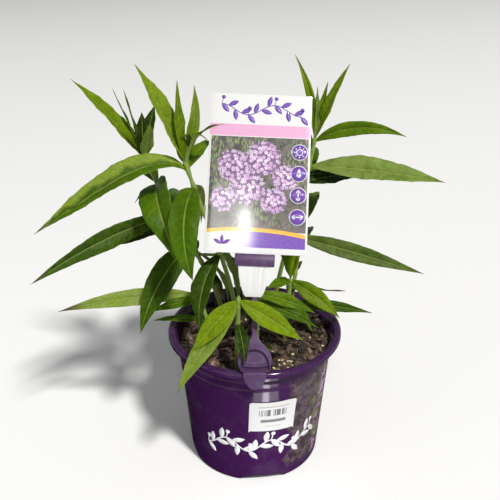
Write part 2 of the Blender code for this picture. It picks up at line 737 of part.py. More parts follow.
def main():
    clear_scene()
    purple = plain_material("pot plastic", (0.085, 0.035, 0.12), 0.3)
    lilac = plain_material("clip plastic", (0.12, 0.06, 0.17), 0.4)
    card = plain_material("label card", (0.85, 0.84, 0.86), 0.35)
    paper = plain_material("sticker paper", (0.85, 0.85, 0.85), 0.6)
    bark = plain_material("potting mix", (0.07, 0.045, 0.035), 0.95)
    leaf_green = plain_material("phlox leaf", (0.13, 0.27, 0.03), 0.45)
    make_pot(purple)
    make_soil(bark)
    make_clip(lilac)
    make_label(card)
    make_sticker(paper)
    for name, shoot in SHOOTS.items():
        make_shoot(name, shoot, leaf_green)


main()
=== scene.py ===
"""The looks of a young phlox in its nursery pot: fine surfaces, finishes, light and camera.

Sizes here are in millimetres and are turned into metres when a mesh is made. The origin is the
middle of the pot's underside, +X is to the right of the label's front and +Y is behind it.
"""
import math
from collections import namedtuple

import bmesh
import bpy
import numpy as np
from bpy.props import FloatProperty, FloatVectorProperty, IntProperty, PointerProperty
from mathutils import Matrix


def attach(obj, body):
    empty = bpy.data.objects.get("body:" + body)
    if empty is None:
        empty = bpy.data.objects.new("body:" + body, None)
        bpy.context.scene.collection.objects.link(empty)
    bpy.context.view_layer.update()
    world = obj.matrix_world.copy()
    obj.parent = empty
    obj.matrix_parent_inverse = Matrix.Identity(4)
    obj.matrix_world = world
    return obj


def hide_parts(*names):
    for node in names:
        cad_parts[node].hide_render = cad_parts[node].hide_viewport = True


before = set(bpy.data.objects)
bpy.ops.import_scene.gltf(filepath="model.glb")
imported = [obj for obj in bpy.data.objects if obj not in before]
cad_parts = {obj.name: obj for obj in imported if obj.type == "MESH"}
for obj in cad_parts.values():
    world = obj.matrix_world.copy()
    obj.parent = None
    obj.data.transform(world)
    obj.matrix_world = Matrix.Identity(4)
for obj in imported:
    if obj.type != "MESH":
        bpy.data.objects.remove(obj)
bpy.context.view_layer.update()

bl_info = {
    "name": "Potted phlox",
    "version": (1, 0, 0),
    "blender": (4, 5, 0),
    "location": "3D View > Sidebar > Phlox",
    "description": "Dresses a potted phlox: pot, soil, label, clip, sticker, leaves and studio",
    "category": "Object",
}

MM = 0.001
ROOT = "root"

# The shader node groups, by the functions that make them.
GROUPS = {}

# The pot, as in the solids.
POT_HEIGHT = 115.0
RIM_RADIUS = 70.0
RIM_DEPTH = 5.5
RIM_WIDTH = 5.0
RIM_EDGE = 0.6
RIM_ROUND = 1.5
RIM_CROWN = 0.3
RIM_UNDERCUT = 0.8
WALL_TOP_RADIUS = 62.8
WALL_FOOT_RADIUS = 53.6
WALL_THICKNESS = 1.6
WALL_TOP_Z = 108.0
RIDGE_HEIGHTS = (94.0, 101.0)
RIDGE_STAND = 0.7
RIDGE_SLOPE = 1.2
FLOOR_Z = 7.0
FLOOR_THICKNESS = 2.0
FOOT_PAD_RADIUS = 20.0
FOOT_CHAMFER = 1.6
FOOT_SQUEEZE = 8.0
NOTCH_WIDTH = 37.0
NOTCH_HEIGHT = 4.8
NOTCH_EASE = 1.5
NOTCH_COUNT = 4
NOTCH_TURN = -83.0
DRAIN_RADIUS = 4.0
DRAIN_RING = 33.0
DRAIN_COUNT = 8
FOOT_INSIDE = WALL_FOOT_RADIUS - FOOT_CHAMFER - WALL_THICKNESS
WALL_TAPER = (WALL_TOP_RADIUS - WALL_FOOT_RADIUS) / WALL_TOP_Z

# The foliage print: the radius, in metres, at which it is drawn, and how far to the left of the
# front, in radians, the bare stretch of the wall has its middle. The white vine is drawn true to
# size at the height PRINT_HEIGHT.
PRINT_RADIUS = 0.058
PRINT_TURN = 0.36
PRINT_HEIGHT = 40.0

# The potting mix.
SOIL_TOP = 104.5
SOIL_CROWN = 1.5
SOIL_CROWN_REACH = 42.0
SOIL_CALM = 20.0
SOIL_SIDES = 300
SOIL_RINGS = 96
SOIL_LUMPS = ((0.9, 3, 0.21, 0.4), (0.8, 5, 0.33, 2.1), (0.7, 8, 0.47, 4.4), (0.5, 13, 0.71, 1.3))
PELLET_HEAP = (22.0, -38.0)
PELLET_SPREAD = 8.0
PELLETS_HEAPED = 0.55

# The clip, the label and the sticker.
GAP = 0.3
LEAN = 32.0
CLIP_X = -0.3
CLIP_START = (CLIP_X, -70.3, 117.4)
HOOK_WIDTH = 17.0
HOOK_THICKNESS = 1.6
HOOK_DROP = 14.5
HOOK_LEG_DROP = 8.0
HOOK_LEG_REACH = 60.2
SHIELD_THICKNESS = 3.0
SHIELD_HALF_WIDTHS = ((0, 10.2), (4, 12.0), (9, 12.6), (14, 11.6), (18.5, 8.0), (22, 4.4), (27, 2.1))
POCKET_WIDTH = 21.0
POCKET_LOW = 1.6
POCKET_HIGH = 16.0
POCKET_DEPTH = 2.3
POCKET_RIDGE = 1.0
POCKET_LIP = 1.7
POCKET_LIP_RISE = 4.0
STAKE_THICKNESS = 2.4
HEAD_CENTRE = 81.6
HEAD_TURN = 2.6
HEAD_WIDTH = 29.6
HEAD_HEIGHT = 9.0
HEAD_WALL = 1.5
LABEL_WIDTH = 76.5
LABEL_HEIGHT = 122.0
LABEL_THICKNESS = 0.7
LABEL_CORNER = 1.5
TONGUE_LENGTH = 32.0
TONGUE_WIDTHS = ((-32.0, 5.6), (-30.8, 6.9), (-26.0, 8.8), (-18.0, 11.0), (-9.5, 12.1), (0.0, 12.4))
SLOT_WIDTH = 25.4
SLOT_DEPTH = LABEL_THICKNESS + 2 * GAP
STICKER_WIDTH = 37.0
STICKER_HEIGHT = 28.5
STICKER_MIDDLE_Z = 68.0
STICKER_TURN = 13.5
STICKER_TILT = -2.0

# What is printed. The UV maps of the label and the sticker have x = 0, y = 0 at their start and
# span so many millimetres. The pictured flower heads are (x, y, radius), and the sticker's level
# bars (low, high, left, right, strength of the ink).
LABEL_UV_START = (0.5, 0.3)
LABEL_UV_SPAN = (100.0, 200.0)
STICKER_UV_START = (0.5, 0.5)
STICKER_UV_SPAN = (100.0, 100.0)
FLOWER_HEADS = ((-19.0, 66.0, 12.0), (3.0, 72.0, 13.0), (20.0, 58.0, 10.0), (-8.0, 50.0, 13.0),
                (12.0, 40.0, 10.0), (-26.0, 40.0, 9.0))
DISC_X = 30.2
DISC_HEIGHTS = (78.0, 61.5, 45.0, 28.5)
STICKER_BARS = ((-5.4, -2.6, -9.5, 10.5, 0.8), (9.2, 10.2, -12.0, 12.5, 0.45),
                (-9.6, -8.9, -6.0, 7.0, 0.4))

# The lamps that lay glare on the label (x across, y up from its shoulder) and on the pot's wall
# (x along the curve from the front, height). After its spot come each lamp's name, its width and
# height in metres and its power in watts. How far off they stand is in millimetres again.
LABEL_GLARE = (((-8.0, 19.0), "label_glare", 0.015, 0.080, 0.21),
               ((-24.0, 30.0), "label_haze", 0.11, 0.12, 0.24))
LABEL_LAMP_REACH = 1000.0
WALL_GLARE = (((8.0, 84.0), "wall_glare", 0.017, 0.036, 0.018),
              ((8.0, 84.0), "wall_haze", 0.070, 0.030, 0.015))
WALL_LAMP_REACH = 100.0
FLOOR_REACH = 6000.0

# Stems and leaves, as in the solids: where each leaf joins and ends, and how it bends.
STEM_FOOT = 86.3
STEM_RADIUS_FOOT = 2.1
STEM_RADIUS_TOP = 1.3
BLADE_WAVE = 0.7
SPINE_STEPS = 8
PETIOLE_HALF_WIDTH = 1.0

# What only the fine leaves and stems have. Leaves narrower than WIDE_LEAF have weaker folds.
WIDE_LEAF = 14.0
SOFT_FOLD = 0.06
BLADE_ARCH = 0.085
BLADE_EDGE = 0.10
BLADE_MIDDLE = 0.32
VEIN_SLANT = 1.5
EDGE_RIPPLE = 0.28
SWELL = 0.34
BLISTER = 0.13
CREASE_DEPTH = 1.6
CREASE_WIDTH = 0.95
JOINT_SWELL = 0.45
JOINT_REACH = 1.8

# tone runs from 0, dark green, over 0.5 to 1, yellow-green, and paints light and shade too:
# leaves in shade get a low tone, sunlit ones a high one; dry is how much of the tip is dry;
# the field after dry is a pale painted sheen on the blade; crease is a crumpled midrib, painted
# darker as shade; ruffle waves the edges.
Leaf = namedtuple("Leaf", "joint tip bend width roll bow early fold tone dry bloom crease ruffle",
                  defaults=(0, 0, 1, 15, 0.5, 0, 0, 0, 1))
Shoot = namedtuple("Shoot", "foot low high top leaves")

# Low tones on leaves that lie in shade, such as the dark ones behind the label's tongue, are painted shade,
# and high tones on sunlit leaves are painted light.
SHOOTS = {
    "shoot_left_front": Shoot(
        (-12, -6, STEM_FOOT), (-12, -6, 165), (-36, -7, 200), (-52, -6, 260),
        (
            Leaf(247, (-157, -40, 213), 85, 22, 30, 0, 5, 24, 0.9, 0.1, 0.45, 1),
            Leaf(251, (-22, -15, 286), 85, 9, tone=0.3),
            Leaf(254, (-33, -14, 273), 190, 8, tone=0.75),
            Leaf(256, (-82, -12, 327), 4, 21, 36, 0, 1, 24, 0.88, bloom=0.15),
            Leaf(258, (-54, -8, 315), -14, 9, 85, tone=0.7),
            Leaf(258, (-43, 0, 310), -35, 9, -70, tone=0.8, bloom=0.3),
            Leaf(250, (-34, 42, 257), 40, 10, -20, tone=0.6),
            Leaf(236, (-45, -45, 179), 110, 23, 8, -40, 1, 20, 0.48),
            Leaf(238, (-42, 14, 199), 90, 9, tone=0.5, bloom=0.9),
            Leaf(182, (-41, -38, 132), 60, 19, -10, -25, tone=0.22),
            Leaf(196, (-28, 28, 168), 50, 10, tone=0.4),
            Leaf(215, (-6, 40, 226), 30, 15, tone=0.5),
            # A dark leaf whose tone of 0 is painted shade behind the label's tongue.
            Leaf(196, (-13, 8, 131), 30, 16, tone=0.0),
        ),
    ),
    "shoot_left_back": Shoot(
        (-22, 12, STEM_FOOT), (-22, 12, 148), (-63, 20, 190), (-86, 26, 252),
        (
            Leaf(246, (-134, 20, 310), 12, 16, 30, 0, 1, 24, 0.8),
            Leaf(250, (-105, 24, 302), 0, 4, tone=0.4),
            Leaf(250, (-98, 30, 300), 0, 4, tone=0.3),
            Leaf(250, (-86, 34, 282), 20, 13, tone=0.12),
            Leaf(250, (-76, 40, 287), 10, 14, tone=0.15),
            Leaf(248, (-77, 12, 280), -20, 11, tone=0.65),
            Leaf(228, (-58, -35, 191), 110, 28, -35, -45, 1, 22, 0.5),
            Leaf(222, (-95, 28, 210), 70, 9, tone=0.25),
            Leaf(204, (-161, -50, 178), 24, 17, 80, tone=0.24, dry=0.06, bloom=0.05),
            Leaf(194, (-126, 10, 175), 22, 12, 30, tone=0.05),
            Leaf(180, (-89, -25, 122), 50, 22, 40, tone=0.28),
            Leaf(228, (-112, 88, 216), 60, 20, tone=0.5),
            Leaf(202, (-66, 112, 182), 60, 18, tone=0.45),
            Leaf(172, (-62, 66, 152), 50, 15, tone=0.4),
            # Three dark leaves that fill the shade behind the label's tongue; their low tones are painted
            # shade.
            Leaf(174, (-22, 26, 120), 50, 15, 10, tone=0.0),
            Leaf(164, (-23, -10, 140), 40, 9, tone=0.12, dry=0.4),
            Leaf(170, (-5, 12, 164), 30, 12, 20, tone=0.0),
        ),
    ),
    "shoot_right_back": Shoot(
        (14, 22, STEM_FOOT), (14, 22, 155), (42, 42, 205), (48, 50, 260),
        (
            Leaf(254, (115, 25, 265), 58, 12, -85, tone=0.66),
            Leaf(235, (146, 15, 232), 5, 23, -36, 15, 1, 18, 0.48, bloom=0.75),
            Leaf(180, (139, 20, 151), 4, 15, -60, tone=0.2, bloom=0.3),
            Leaf(222, (84, 56, 222), 30, 18, -30, tone=0.0),
            Leaf(256, (48, 46, 299), 0, 7, 60, tone=0.75),
            Leaf(256, (56, 48, 302), 0, 8, -60, tone=0.8),
            Leaf(256, (71, 40, 317), 12, 9, -70, tone=0.75),
            Leaf(256, (31, 60, 320), 35, 7, 70, tone=0.85),
            Leaf(248, (14, 96, 262), 60, 15, tone=0.5),
            Leaf(228, (98, 92, 216), 20, 14, -20, tone=0.35),
            Leaf(222, (50, 128, 222), 60, 20, tone=0.5),
            Leaf(186, (-26, 70, 176), 40, 15, tone=0.4),
        ),
    ),
    "shoot_left_low": Shoot(
        (-32, -14, STEM_FOOT), (-32, -14, 118), (-42, -8, 135), (-46, -4, 152),
        (
            Leaf(146, (-159, 0, 127), 18, 14, 60, tone=1.0, dry=0.2, bloom=0.95),
            Leaf(142, (-82, -16, 136), 20, 9, 40, tone=0.5),
            Leaf(125, (-82, 0, 119), 20, 7, 30, tone=0.45),
        ),
    ),
    "shoot_back_middle": Shoot(
        (-8, 32, STEM_FOOT), (-8, 32, 150), (-10, 48, 185), (-14, 58, 218),
        (
            Leaf(214, (-40, 122, 198), 70, 19, tone=0.5),
            Leaf(214, (14, 118, 202), 70, 18, tone=0.55),
            Leaf(192, (-14, 138, 160), 80, 20, tone=0.45),
            Leaf(216, (-24, 64, 254), 0, 9, 30, tone=0.75),
            Leaf(216, (-6, 60, 250), 0, 9, -30, tone=0.75),
            Leaf(215, (-16, 78, 246), 10, 11, tone=0.7),
            Leaf(176, (-36, 112, 128), 60, 15, tone=0.35),
            Leaf(150, (-2, 104, 118), 50, 14, tone=0.3),
        ),
    ),
    "shoot_back_right": Shoot(
        (30, 28, STEM_FOOT), (30, 28, 132), (38, 46, 152), (40, 56, 182),
        (
            Leaf(160, (52, 132, 136), 60, 18, tone=0.45),
            Leaf(176, (22, 122, 168), 60, 16, tone=0.5),
            Leaf(178, (60, 118, 186), 50, 14, tone=0.55),
            Leaf(180, (34, 66, 212), 0, 8, 30, tone=0.75),
            Leaf(180, (44, 64, 210), 0, 8, -30, tone=0.75),
            Leaf(142, (38, 96, 114), 60, 13, tone=0.4),
        ),
    ),
    "rosette_front": Shoot(
        (-14, -44, STEM_FOOT), (-14, -44, 120), (-12, -50, 150), (-12, -51, 170),
        (
            Leaf(166, (-46, -66, 131), 12, 16, 45, tone=0.86),
            Leaf(160, (-57, -74, 101), 25, 15, 45, tone=0.72, bloom=0.6, ruffle=2.2),
            Leaf(166, (35, -54, 134), 6, 16, -60, tone=0.84),
            Leaf(146, (-7, -70, 124), 40, 10, tone=0.12),
            Leaf(128, (18, -42, 116), 20, 8, tone=0.5),
        ),
    ),
    "rosette_middle": Shoot(
        (2, -24, STEM_FOOT), (2, -24, 120), (1, -29, 140), (0, -30, 162),
        (
            Leaf(160, (46, -30, 143), 25, 11, -45, tone=0.6),
            Leaf(154, (48, -38, 135), 15, 9, -45, tone=0.4),
            Leaf(148, (22, 14, 134), 30, 9, tone=0.35),
        ),
    ),
    "rosette_right": Shoot(
        (24, -8, STEM_FOOT), (24, -8, 120), (27, -6, 140), (28, -4, 160),
        (
            Leaf(158, (66, -20, 133), 22, 14, -55, tone=0.72),
            Leaf(158, (9, -22, 160), 20, 9, 30, tone=0.6),
            Leaf(140, (44, -32, 128), 40, 9, tone=0.45),
            Leaf(154, (72, -5, 149), -15, 4, tone=0.3, dry=0.5),
            Leaf(160, (19, 10, 199), 0, 10, tone=0.6),
            Leaf(160, (38, 6, 200), 0, 10, tone=0.85),
            Leaf(146, (38, 34, 132), 40, 12, tone=0.4),
            Leaf(138, (95, 0, 126), 14, 10, -50, tone=0.3, dry=0.08),
        ),
    ),
}


def colour_setting(name, description, *value):
    """A colour that a user can change."""
    return FloatVectorProperty(
        name=name, description=description, subtype="COLOR", default=value, min=0, max=1)


def count_setting(name, description, value, lowest=0):
    """A whole number that a user can change."""
    return IntProperty(name=name, description=description, default=value, min=lowest)


def number_setting(name, description, value, lowest=0.0):
    """A plain number that a user can change."""
    return FloatProperty(name=name, description=description, default=value, min=lowest)


def angle_setting(name, description, degrees):
    """An angle that a user can change."""
    return FloatProperty(name=name, description=description, subtype="ANGLE", default=math.radians(degrees))


class PotSettings(bpy.types.PropertyGroup):
    """The pot's plastic and the foliage print round its back."""

    sides: count_setting("Sides", "Columns of the pot's surface", 176, 32)
    purple: colour_setting("Purple", "Colour of the moulded plastic", 0.034, 0.0065, 0.050)
    dusk: colour_setting("Print, brown", "The print's mauve-brown ground", 0.120, 0.082, 0.092)
    olive: colour_setting("Print, olive", "The print's olive leaves", 0.185, 0.185, 0.035)
    petal: colour_setting("Print, petals", "The print's blossoms", 0.50, 0.20, 0.50)


class SoilSettings(bpy.types.PropertyGroup):
    """The potting mix and what lies in it."""

    chips: count_setting("Chips", "Number of bark chips", 1900)
    fibres: count_setting("Fibres", "Number of root and bark fibres", 110)
    pellets: count_setting("Pellets", "Number of round feed pellets", 46)
    seed: count_setting("Seed", "Seed of every random draw in the soil", 7)
    dark: colour_setting("Peat", "Darkest colour of the mix", 0.007, 0.005, 0.004)
    bark: colour_setting("Bark", "Lightest colour of the chips", 0.42, 0.27, 0.195)


class LeafSettings(bpy.types.PropertyGroup):
    """The leaves' surface and colours."""

    step: number_setting("Step", "Length of a leaf's surface cells, in mm", 1.5, 0.5)
    strips: count_setting("Strips", "Cells across a leaf", 18, 6)
    vein_step: number_setting("Vein step", "Distance between side veins, in mm", 5.2, 1.0)
    quilt: number_setting("Quilting", "Rise of the blade between veins, in mm", 0.10)
    # The dark colour is also the painted shade of leaves in shade, and the young colour also the painted
    # light of sunlit leaves.
    dark: colour_setting("Dark", "Old leaves", 0.009, 0.022, 0.0015)
    green: colour_setting("Green", "Full-grown leaves", 0.058, 0.125, 0.001)
    young: colour_setting("Young", "Young leaves", 0.195, 0.275, 0.004)
    # The colour of a pale painted sheen on some blades.
    shine: colour_setting("Film", "The pale film on some blades", 0.250, 0.325, 0.080)
    pale: colour_setting("Underside", "Undersides", 0.250, 0.330, 0.070)


class CardSettings(bpy.types.PropertyGroup):
    """The label, its clip and the sticker."""

    card: colour_setting("Card", "The label's white", 0.75, 0.75, 0.745)
    pink: colour_setting("Pink band", "The band over the picture", 0.75, 0.385, 0.60)
    violet: colour_setting("Violet", "The label's discs and foot band", 0.17, 0.065, 0.42)
    gold: colour_setting("Gold", "The label's stripe", 0.86, 0.47, 0.04)
    white: colour_setting("White ink", "The pot's vine and the marks in the discs", 0.78, 0.78, 0.80)
    clip: colour_setting("Clip", "The clip's plastic", 0.072, 0.036, 0.095)
    paper: colour_setting("Paper", "The sticker's paper", 0.67, 0.67, 0.675)


class StageSettings(bpy.types.PropertyGroup):
    """The studio: camera, lamps and floor."""

    lens: number_setting("Lens", "Focal length on a 36 mm sensor, in mm", 52.8, 1.0)
    place: FloatVectorProperty(
        name="Camera", description="Where the camera stands", subtype="TRANSLATION", unit="LENGTH",
        default=(-0.003743, -0.51457, 0.42357))
    tilt: angle_setting("Tilt", "Camera's turn up from straight down", 64.873)
    key: number_setting("Key", "Strength of the key light, in W per square metre", 3.05)
    spread: angle_setting("Spread", "How wide the key light is, which softens its shadows", 7)
    height: angle_setting("Height", "The key light's height over the floor", 54)
    side: angle_setting("Side", "How far round to the right of the camera the key light stands", 32)
    fill: number_setting("Fill", "Power of the fill lamp, in W", 2.0)
    sky: number_setting("Sky", "Strength of the pale surroundings", 0.23)
    backdrop: number_setting("Backdrop", "Strength of the surroundings as the camera sees them", 0.88)


class Piece:
    """Points, quads and point values of one piece, gathered shell by shell, in millimetres."""

    def __init__(self):
        self.points = []
        self.quads = []
        self.slots = []
        self.layers = []
        self.count = 0

    def add(self, points, quads, slot=0, **layers):
        """Adds one shell. Each layer holds a value, or one row of values, for every point."""
        points = np.asarray(points, float).reshape(-1, 3)
        self.points.append(points)
        self.quads.append(np.asarray(quads) + self.count)
        self.slots.append(np.full(len(quads), slot))
        self.layers.append({
            name: np.broadcast_to(value, (len(points), 2) if name == "uv" else len(points))
            for name, value in layers.items()})
        self.count += len(points)

    def build(self, name, *materials, smooth=True, sharp=None):
        """The object: a quad whose last two corners are the same becomes a triangle."""
        mesh = bpy.data.meshes.new(name)
        points = np.vstack(self.points) * MM
        quads = np.vstack(self.quads)
        slots = np.concatenate(self.slots)
        three = quads[:, 2] == quads[:, 3]
        quads = np.vstack([quads[~three], quads[three]])
        slots = np.concatenate([slots[~three], slots[three]])
        sizes = np.full(len(quads), 4)
        sizes[len(quads) - three.sum():] = 3
        keep = np.ones(quads.shape, bool)
        keep[sizes == 3, 3] = False
        corners = quads[keep]
        mesh.vertices.add(len(points))
        mesh.vertices.foreach_set("co", points.ravel())
        mesh.loops.add(len(corners))
        mesh.loops.foreach_set("vertex_index", corners.astype(np.int32))
        mesh.polygons.add(len(quads))
        mesh.polygons.foreach_set("loop_start", (np.cumsum(sizes) - sizes).astype(np.int32))
        mesh.polygons.foreach_set("material_index", slots.astype(np.int32))
        mesh.update(calc_edges=True)
        for title in self.layers[0]:
            values = np.concatenate([layer[title] for layer in self.layers])
            if title == "uv":
                mesh.uv_layers.new(name="UVMap").data.foreach_set("uv", values[corners].ravel())
            else:
                mesh.attributes.new(title, "FLOAT", "POINT").data.foreach_set("value", values)
        for material in materials:
            mesh.materials.append(material)
        face_out(mesh)
        if smooth:
            mesh.shade_smooth()
        if sharp:
            mesh.set_sharp_from_angle(angle=math.radians(sharp))
        return new_object(name, mesh)


def new_object(name, data, place=(0, 0, 0), turn=(0, 0, 0)):
    """An object, put into the scene."""
    thing = bpy.data.objects.new(name, data)
    thing.location = place
    thing.rotation_euler = turn
    bpy.context.scene.collection.objects.link(thing)
    return thing


def face_out(mesh):
    """Turns the faces of every closed shell outwards."""
    shells = bmesh.new()
    shells.from_mesh(mesh)
    bmesh.ops.recalc_face_normals(shells, faces=shells.faces)
    shells.to_mesh(mesh)
    shells.free()


def settle(thing, slot, *nodes):
    """Makes a finished piece ride with the part, in place of the nodes named. The slot is not used."""
    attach(thing, ROOT)
    if nodes:
        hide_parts(*nodes)
    return thing


def grid_quads(rows, columns, round_rows=False, round_columns=False):
    """Quads of a grid numbered row by row; a round direction closes on itself."""
    row = np.arange(rows if round_rows else rows - 1)
    column = np.arange(columns if round_columns else columns - 1)
    row, column = np.meshgrid(row, column, indexing="ij")
    up = (row + 1) % rows
    on = (column + 1) % columns
    corners = [row * columns + column, row * columns + on, up * columns + on, up * columns + column]
    return np.stack(corners, -1).reshape(-1, 4)


def shell_quads(rows, columns):
    """Quads of a closed shell: a front grid, a back grid after it, and the strip round their edge."""
    front = grid_quads(rows, columns)
    count = rows * columns
    edge = np.concatenate([
        np.arange(columns),
        np.arange(2, rows + 1) * columns - 1,
        np.arange(count - 2, count - columns - 1, -1),
        np.arange(rows - 2, 0, -1) * columns,
    ])
    after = np.roll(edge, -1)
    strip = np.stack([edge, edge + count, after + count, after], 1)
    return np.vstack([front, front[:, ::-1] + count, strip])


def fan_quads(first, count, pole):
    """Triangles from a ring of points to one pole, as quads whose last corner is doubled."""
    ring = first + np.arange(count)
    after = first + (np.arange(count) + 1) % count
    tip = np.full(count, pole)
    return np.stack([ring, after, tip, tip], 1)


def barrel_quads(rows, columns):
    """Quads of rings stacked into a barrel, whose ends are closed by the two points after the rings."""
    pole = rows * columns
    return np.vstack([grid_quads(rows, columns, round_columns=True), fan_quads(0, columns, pole),
                      fan_quads(pole - columns, columns, pole + 1)])


def unit(vectors):
    """Vectors of length one."""
    return vectors / np.linalg.norm(vectors, axis=-1, keepdims=True)


def smooth_step(value, low, high):
    """0 below low, 1 above high, and 3t^2 - 2t^3 between."""
    share = np.clip((value - low) / (high - low), 0, 1)
    return share * share * (3 - 2 * share)


def bumps(x, y, size, seed):
    """Smooth noise from -1 to 1: random heights on a lattice of that size, blended by 3t^2 - 2t^3."""
    lattice = np.random.default_rng(seed).uniform(-1, 1, (61, 67))
    u = x / size + 17.3
    v = y / size + 11.9
    i = np.floor(u).astype(int)
    j = np.floor(v).astype(int)
    a = smooth_step(u - i, 0, 1)
    b = smooth_step(v - j, 0, 1)
    here = lattice[i % 61, j % 67] * (1 - a) + lattice[(i + 1) % 61, j % 67] * a
    above = lattice[i % 61, (j + 1) % 67] * (1 - a) + lattice[(i + 1) % 61, (j + 1) % 67] * a
    return here * (1 - b) + above * b


def rounded_line(corners, steps=4):
    """A polyline with its corners rounded.

    Each corner is (x, y, reach): it becomes the curve of second degree that leaves the line at
    that reach before the corner and joins it again as far after it.
    """
    points = np.array([corner[:2] for corner in corners], float)
    run = [points[:1]]
    for before, here, after, corner in zip(points, points[1:], points[2:], corners[1:]):
        reach = corner[2]
        start = here + (before - here) * min(0.45, reach / np.linalg.norm(before - here))
        end = here + (after - here) * min(0.45, reach / np.linalg.norm(after - here))
        share = np.linspace(0, 1, steps)[:, None]
        run.append(start * (1 - share) ** 2 + 2 * here * share * (1 - share) + end * share**2)
    run.append(points[-1:])
    return np.vstack(run)


def rounding(inset, radius):
    """How far a rounded edge has dropped at a distance inside the outline."""
    return radius - np.sqrt(radius**2 - np.clip(radius - inset, 0, radius) ** 2)


def skins(*grids):
    """The points of several grids, one grid after the other."""
    return np.vstack([grid.reshape(-1, 3) for grid in grids])


def turned(radius, angle, height):
    """Points round the pot's axis."""
    return np.stack([radius * np.cos(angle), radius * np.sin(angle), height], -1)


class Wire:
    """The value of one socket. Each of +, -, *, /, ** and abs() adds a Math node to its wiring."""

    def __init__(self, wiring, socket):
        self.wiring = wiring
        self.socket = socket

    def __add__(self, other):
        return self.wiring.math("ADD", self, other)

    def __sub__(self, other):
        return self.wiring.math("SUBTRACT", self, other)

    def __mul__(self, other):
        return self.wiring.math("MULTIPLY", self, other)

    def __truediv__(self, other):
        return self.wiring.math("DIVIDE", self, other)

    def __pow__(self, other):
        return self.wiring.math("POWER", self, other)

    def __abs__(self):
        return self.wiring.math("ABSOLUTE", self)


class Wiring:
    """Adds nodes to one node tree. An input is a value or the wire that feeds it."""

    def __init__(self, tree):
        self.tree = tree

    def add(self, kind, *values, named=None, **settings):
        """A node, its first inputs in order, others by name, and its settings."""
        node = self.tree.nodes.new("ShaderNode" + kind)
        for title, value in settings.items():
            setattr(node, title, value)
        for key, value in list(enumerate(values)) + list((named or {}).items()):
            if value is not None:
                self.feed(node.inputs[key], value)
        return node

    def out(self, kind, *values, socket=0, **settings):
        """The wire from one output of a new node."""
        return Wire(self, self.add(kind, *values, **settings).outputs[socket])

    def feed(self, socket, value):
        """Links or sets one input."""
        if isinstance(value, Wire):
            self.tree.links.new(value.socket, socket)
        elif socket.type == "RGBA" and len(value) == 3:
            socket.default_value = (*value, 1.0)
        else:
            socket.default_value = value

    def math(self, operation, *values):
        """One calculation."""
        return self.out("Math", *values, operation=operation)

    def mix(self, share, first, second):
        """Two colours mixed by a share."""
        return self.out("Mix", named={0: share, 6: first, 7: second}, socket=2, data_type="RGBA")

    def step(self, value, low, high):
        """0 at low and 1 at high, smooth between and level beyond; low may be the larger one."""
        return self.out("MapRange", value, low, high, 0.0, 1.0, interpolation_type="SMOOTHSTEP")

    def span(self, value, low, high, bottom, top):
        """A value moved in a straight line from one range to another, and kept there."""
        return self.out("MapRange", value, low, high, bottom, top)

    def between(self, value, low, high):
        """1 between two limits, 0 outside."""
        return self.math("GREATER_THAN", value, low) * self.math("LESS_THAN", value, high)

    def noise(self, place, scale, detail=2.0, roughness=0.5):
        """Noise round 0.5."""
        return self.out("TexNoise", place, None, scale, detail, roughness)

    def cells(self, place, scale):
        """Scattered points in a plane: how far off the nearest is, where, and its own random share."""
        found = self.add("TexVoronoi", place, None, scale, voronoi_dimensions="2D").outputs
        share = self.out("SeparateColor", Wire(self, found["Color"]))
        return Wire(self, found["Distance"]), Wire(self, found["Position"]), share

    def attribute(self, title):
        """A point attribute."""
        return self.out("Attribute", socket="Fac", attribute_name=title)

    def axes(self, vector):
        """The X, Y and Z of a vector."""
        return [Wire(self, socket) for socket in self.add("SeparateXYZ", vector).outputs[:3]]

    def sheet(self, start, span):
        """The piece's own UV map read back as lengths x and y, and as the vector of both."""
        u, v, _ = self.axes(self.out("UVMap", uv_map="UVMap"))
        x = (u - start[0]) * span[0]
        y = (v - start[1]) * span[1]
        return x, y, self.vector(x, y)

    def vector(self, x=0.0, y=0.0, z=0.0):
        """A vector from three values."""
        return self.out("CombineXYZ", x, y, z)

    def mapped(self, place, **named):
        """A place stretched or turned by a Mapping node."""
        return self.out("Mapping", place, named=named)

    def group(self, group, **named):
        """A shader node group with its inputs by name, as a dict of its outputs."""
        node = self.add("Group", node_tree=group)
        for title, value in named.items():
            self.feed(node.inputs[title.capitalize()], value)
        return {socket.name: Wire(self, socket) for socket in node.outputs}


def new_group(title, inputs, outputs):
    """An empty shader node group: itself, its wiring, its inputs as wires and its output sockets."""
    group = bpy.data.node_groups.new(title, "ShaderNodeTree")
    for name, kind, value in inputs:
        socket = group.interface.new_socket(name, in_out="INPUT", socket_type="NodeSocket" + kind)
        socket.default_value = value
    for name, kind in outputs:
        group.interface.new_socket(name, in_out="OUTPUT", socket_type="NodeSocket" + kind)
    w = Wiring(group)
    entry = {socket.name: Wire(w, socket) for socket in group.nodes.new("NodeGroupInput").outputs}
    return group, w, entry, group.nodes.new("NodeGroupOutput").inputs


def shared(maker):
    """The shader node group of a maker, built once."""
    if maker not in GROUPS:
        GROUPS[maker] = maker()
    return GROUPS[maker]


def finish(title, roughness=0.5, **constants):
    """A material, its wiring, its Principled shader's inputs and its Object coordinates.

    The constants are set on the shader's own sockets.
    """
    material = bpy.data.materials.new(title)
    material.use_nodes = True
    shader = material.node_tree.nodes["Principled BSDF"].inputs
    shader["Roughness"].default_value = roughness
    for name, value in constants.items():
        shader[name.replace("_", " ").title().replace("Ior", "IOR")].default_value = value
    w = Wiring(material.node_tree)
    return material, w, shader, w.out("TexCoord", socket="Object")


def relief(w, shader, height, strength, distance):
    """Lets a height shade the surface."""
    bump = w.out("Bump", named={"Strength": strength, "Distance": distance, "Height": height})
    w.feed(shader["Normal"], bump)


def scaled(colour, factor):
    """A colour made lighter or darker by a factor."""
    return tuple(factor * value for value in colour)


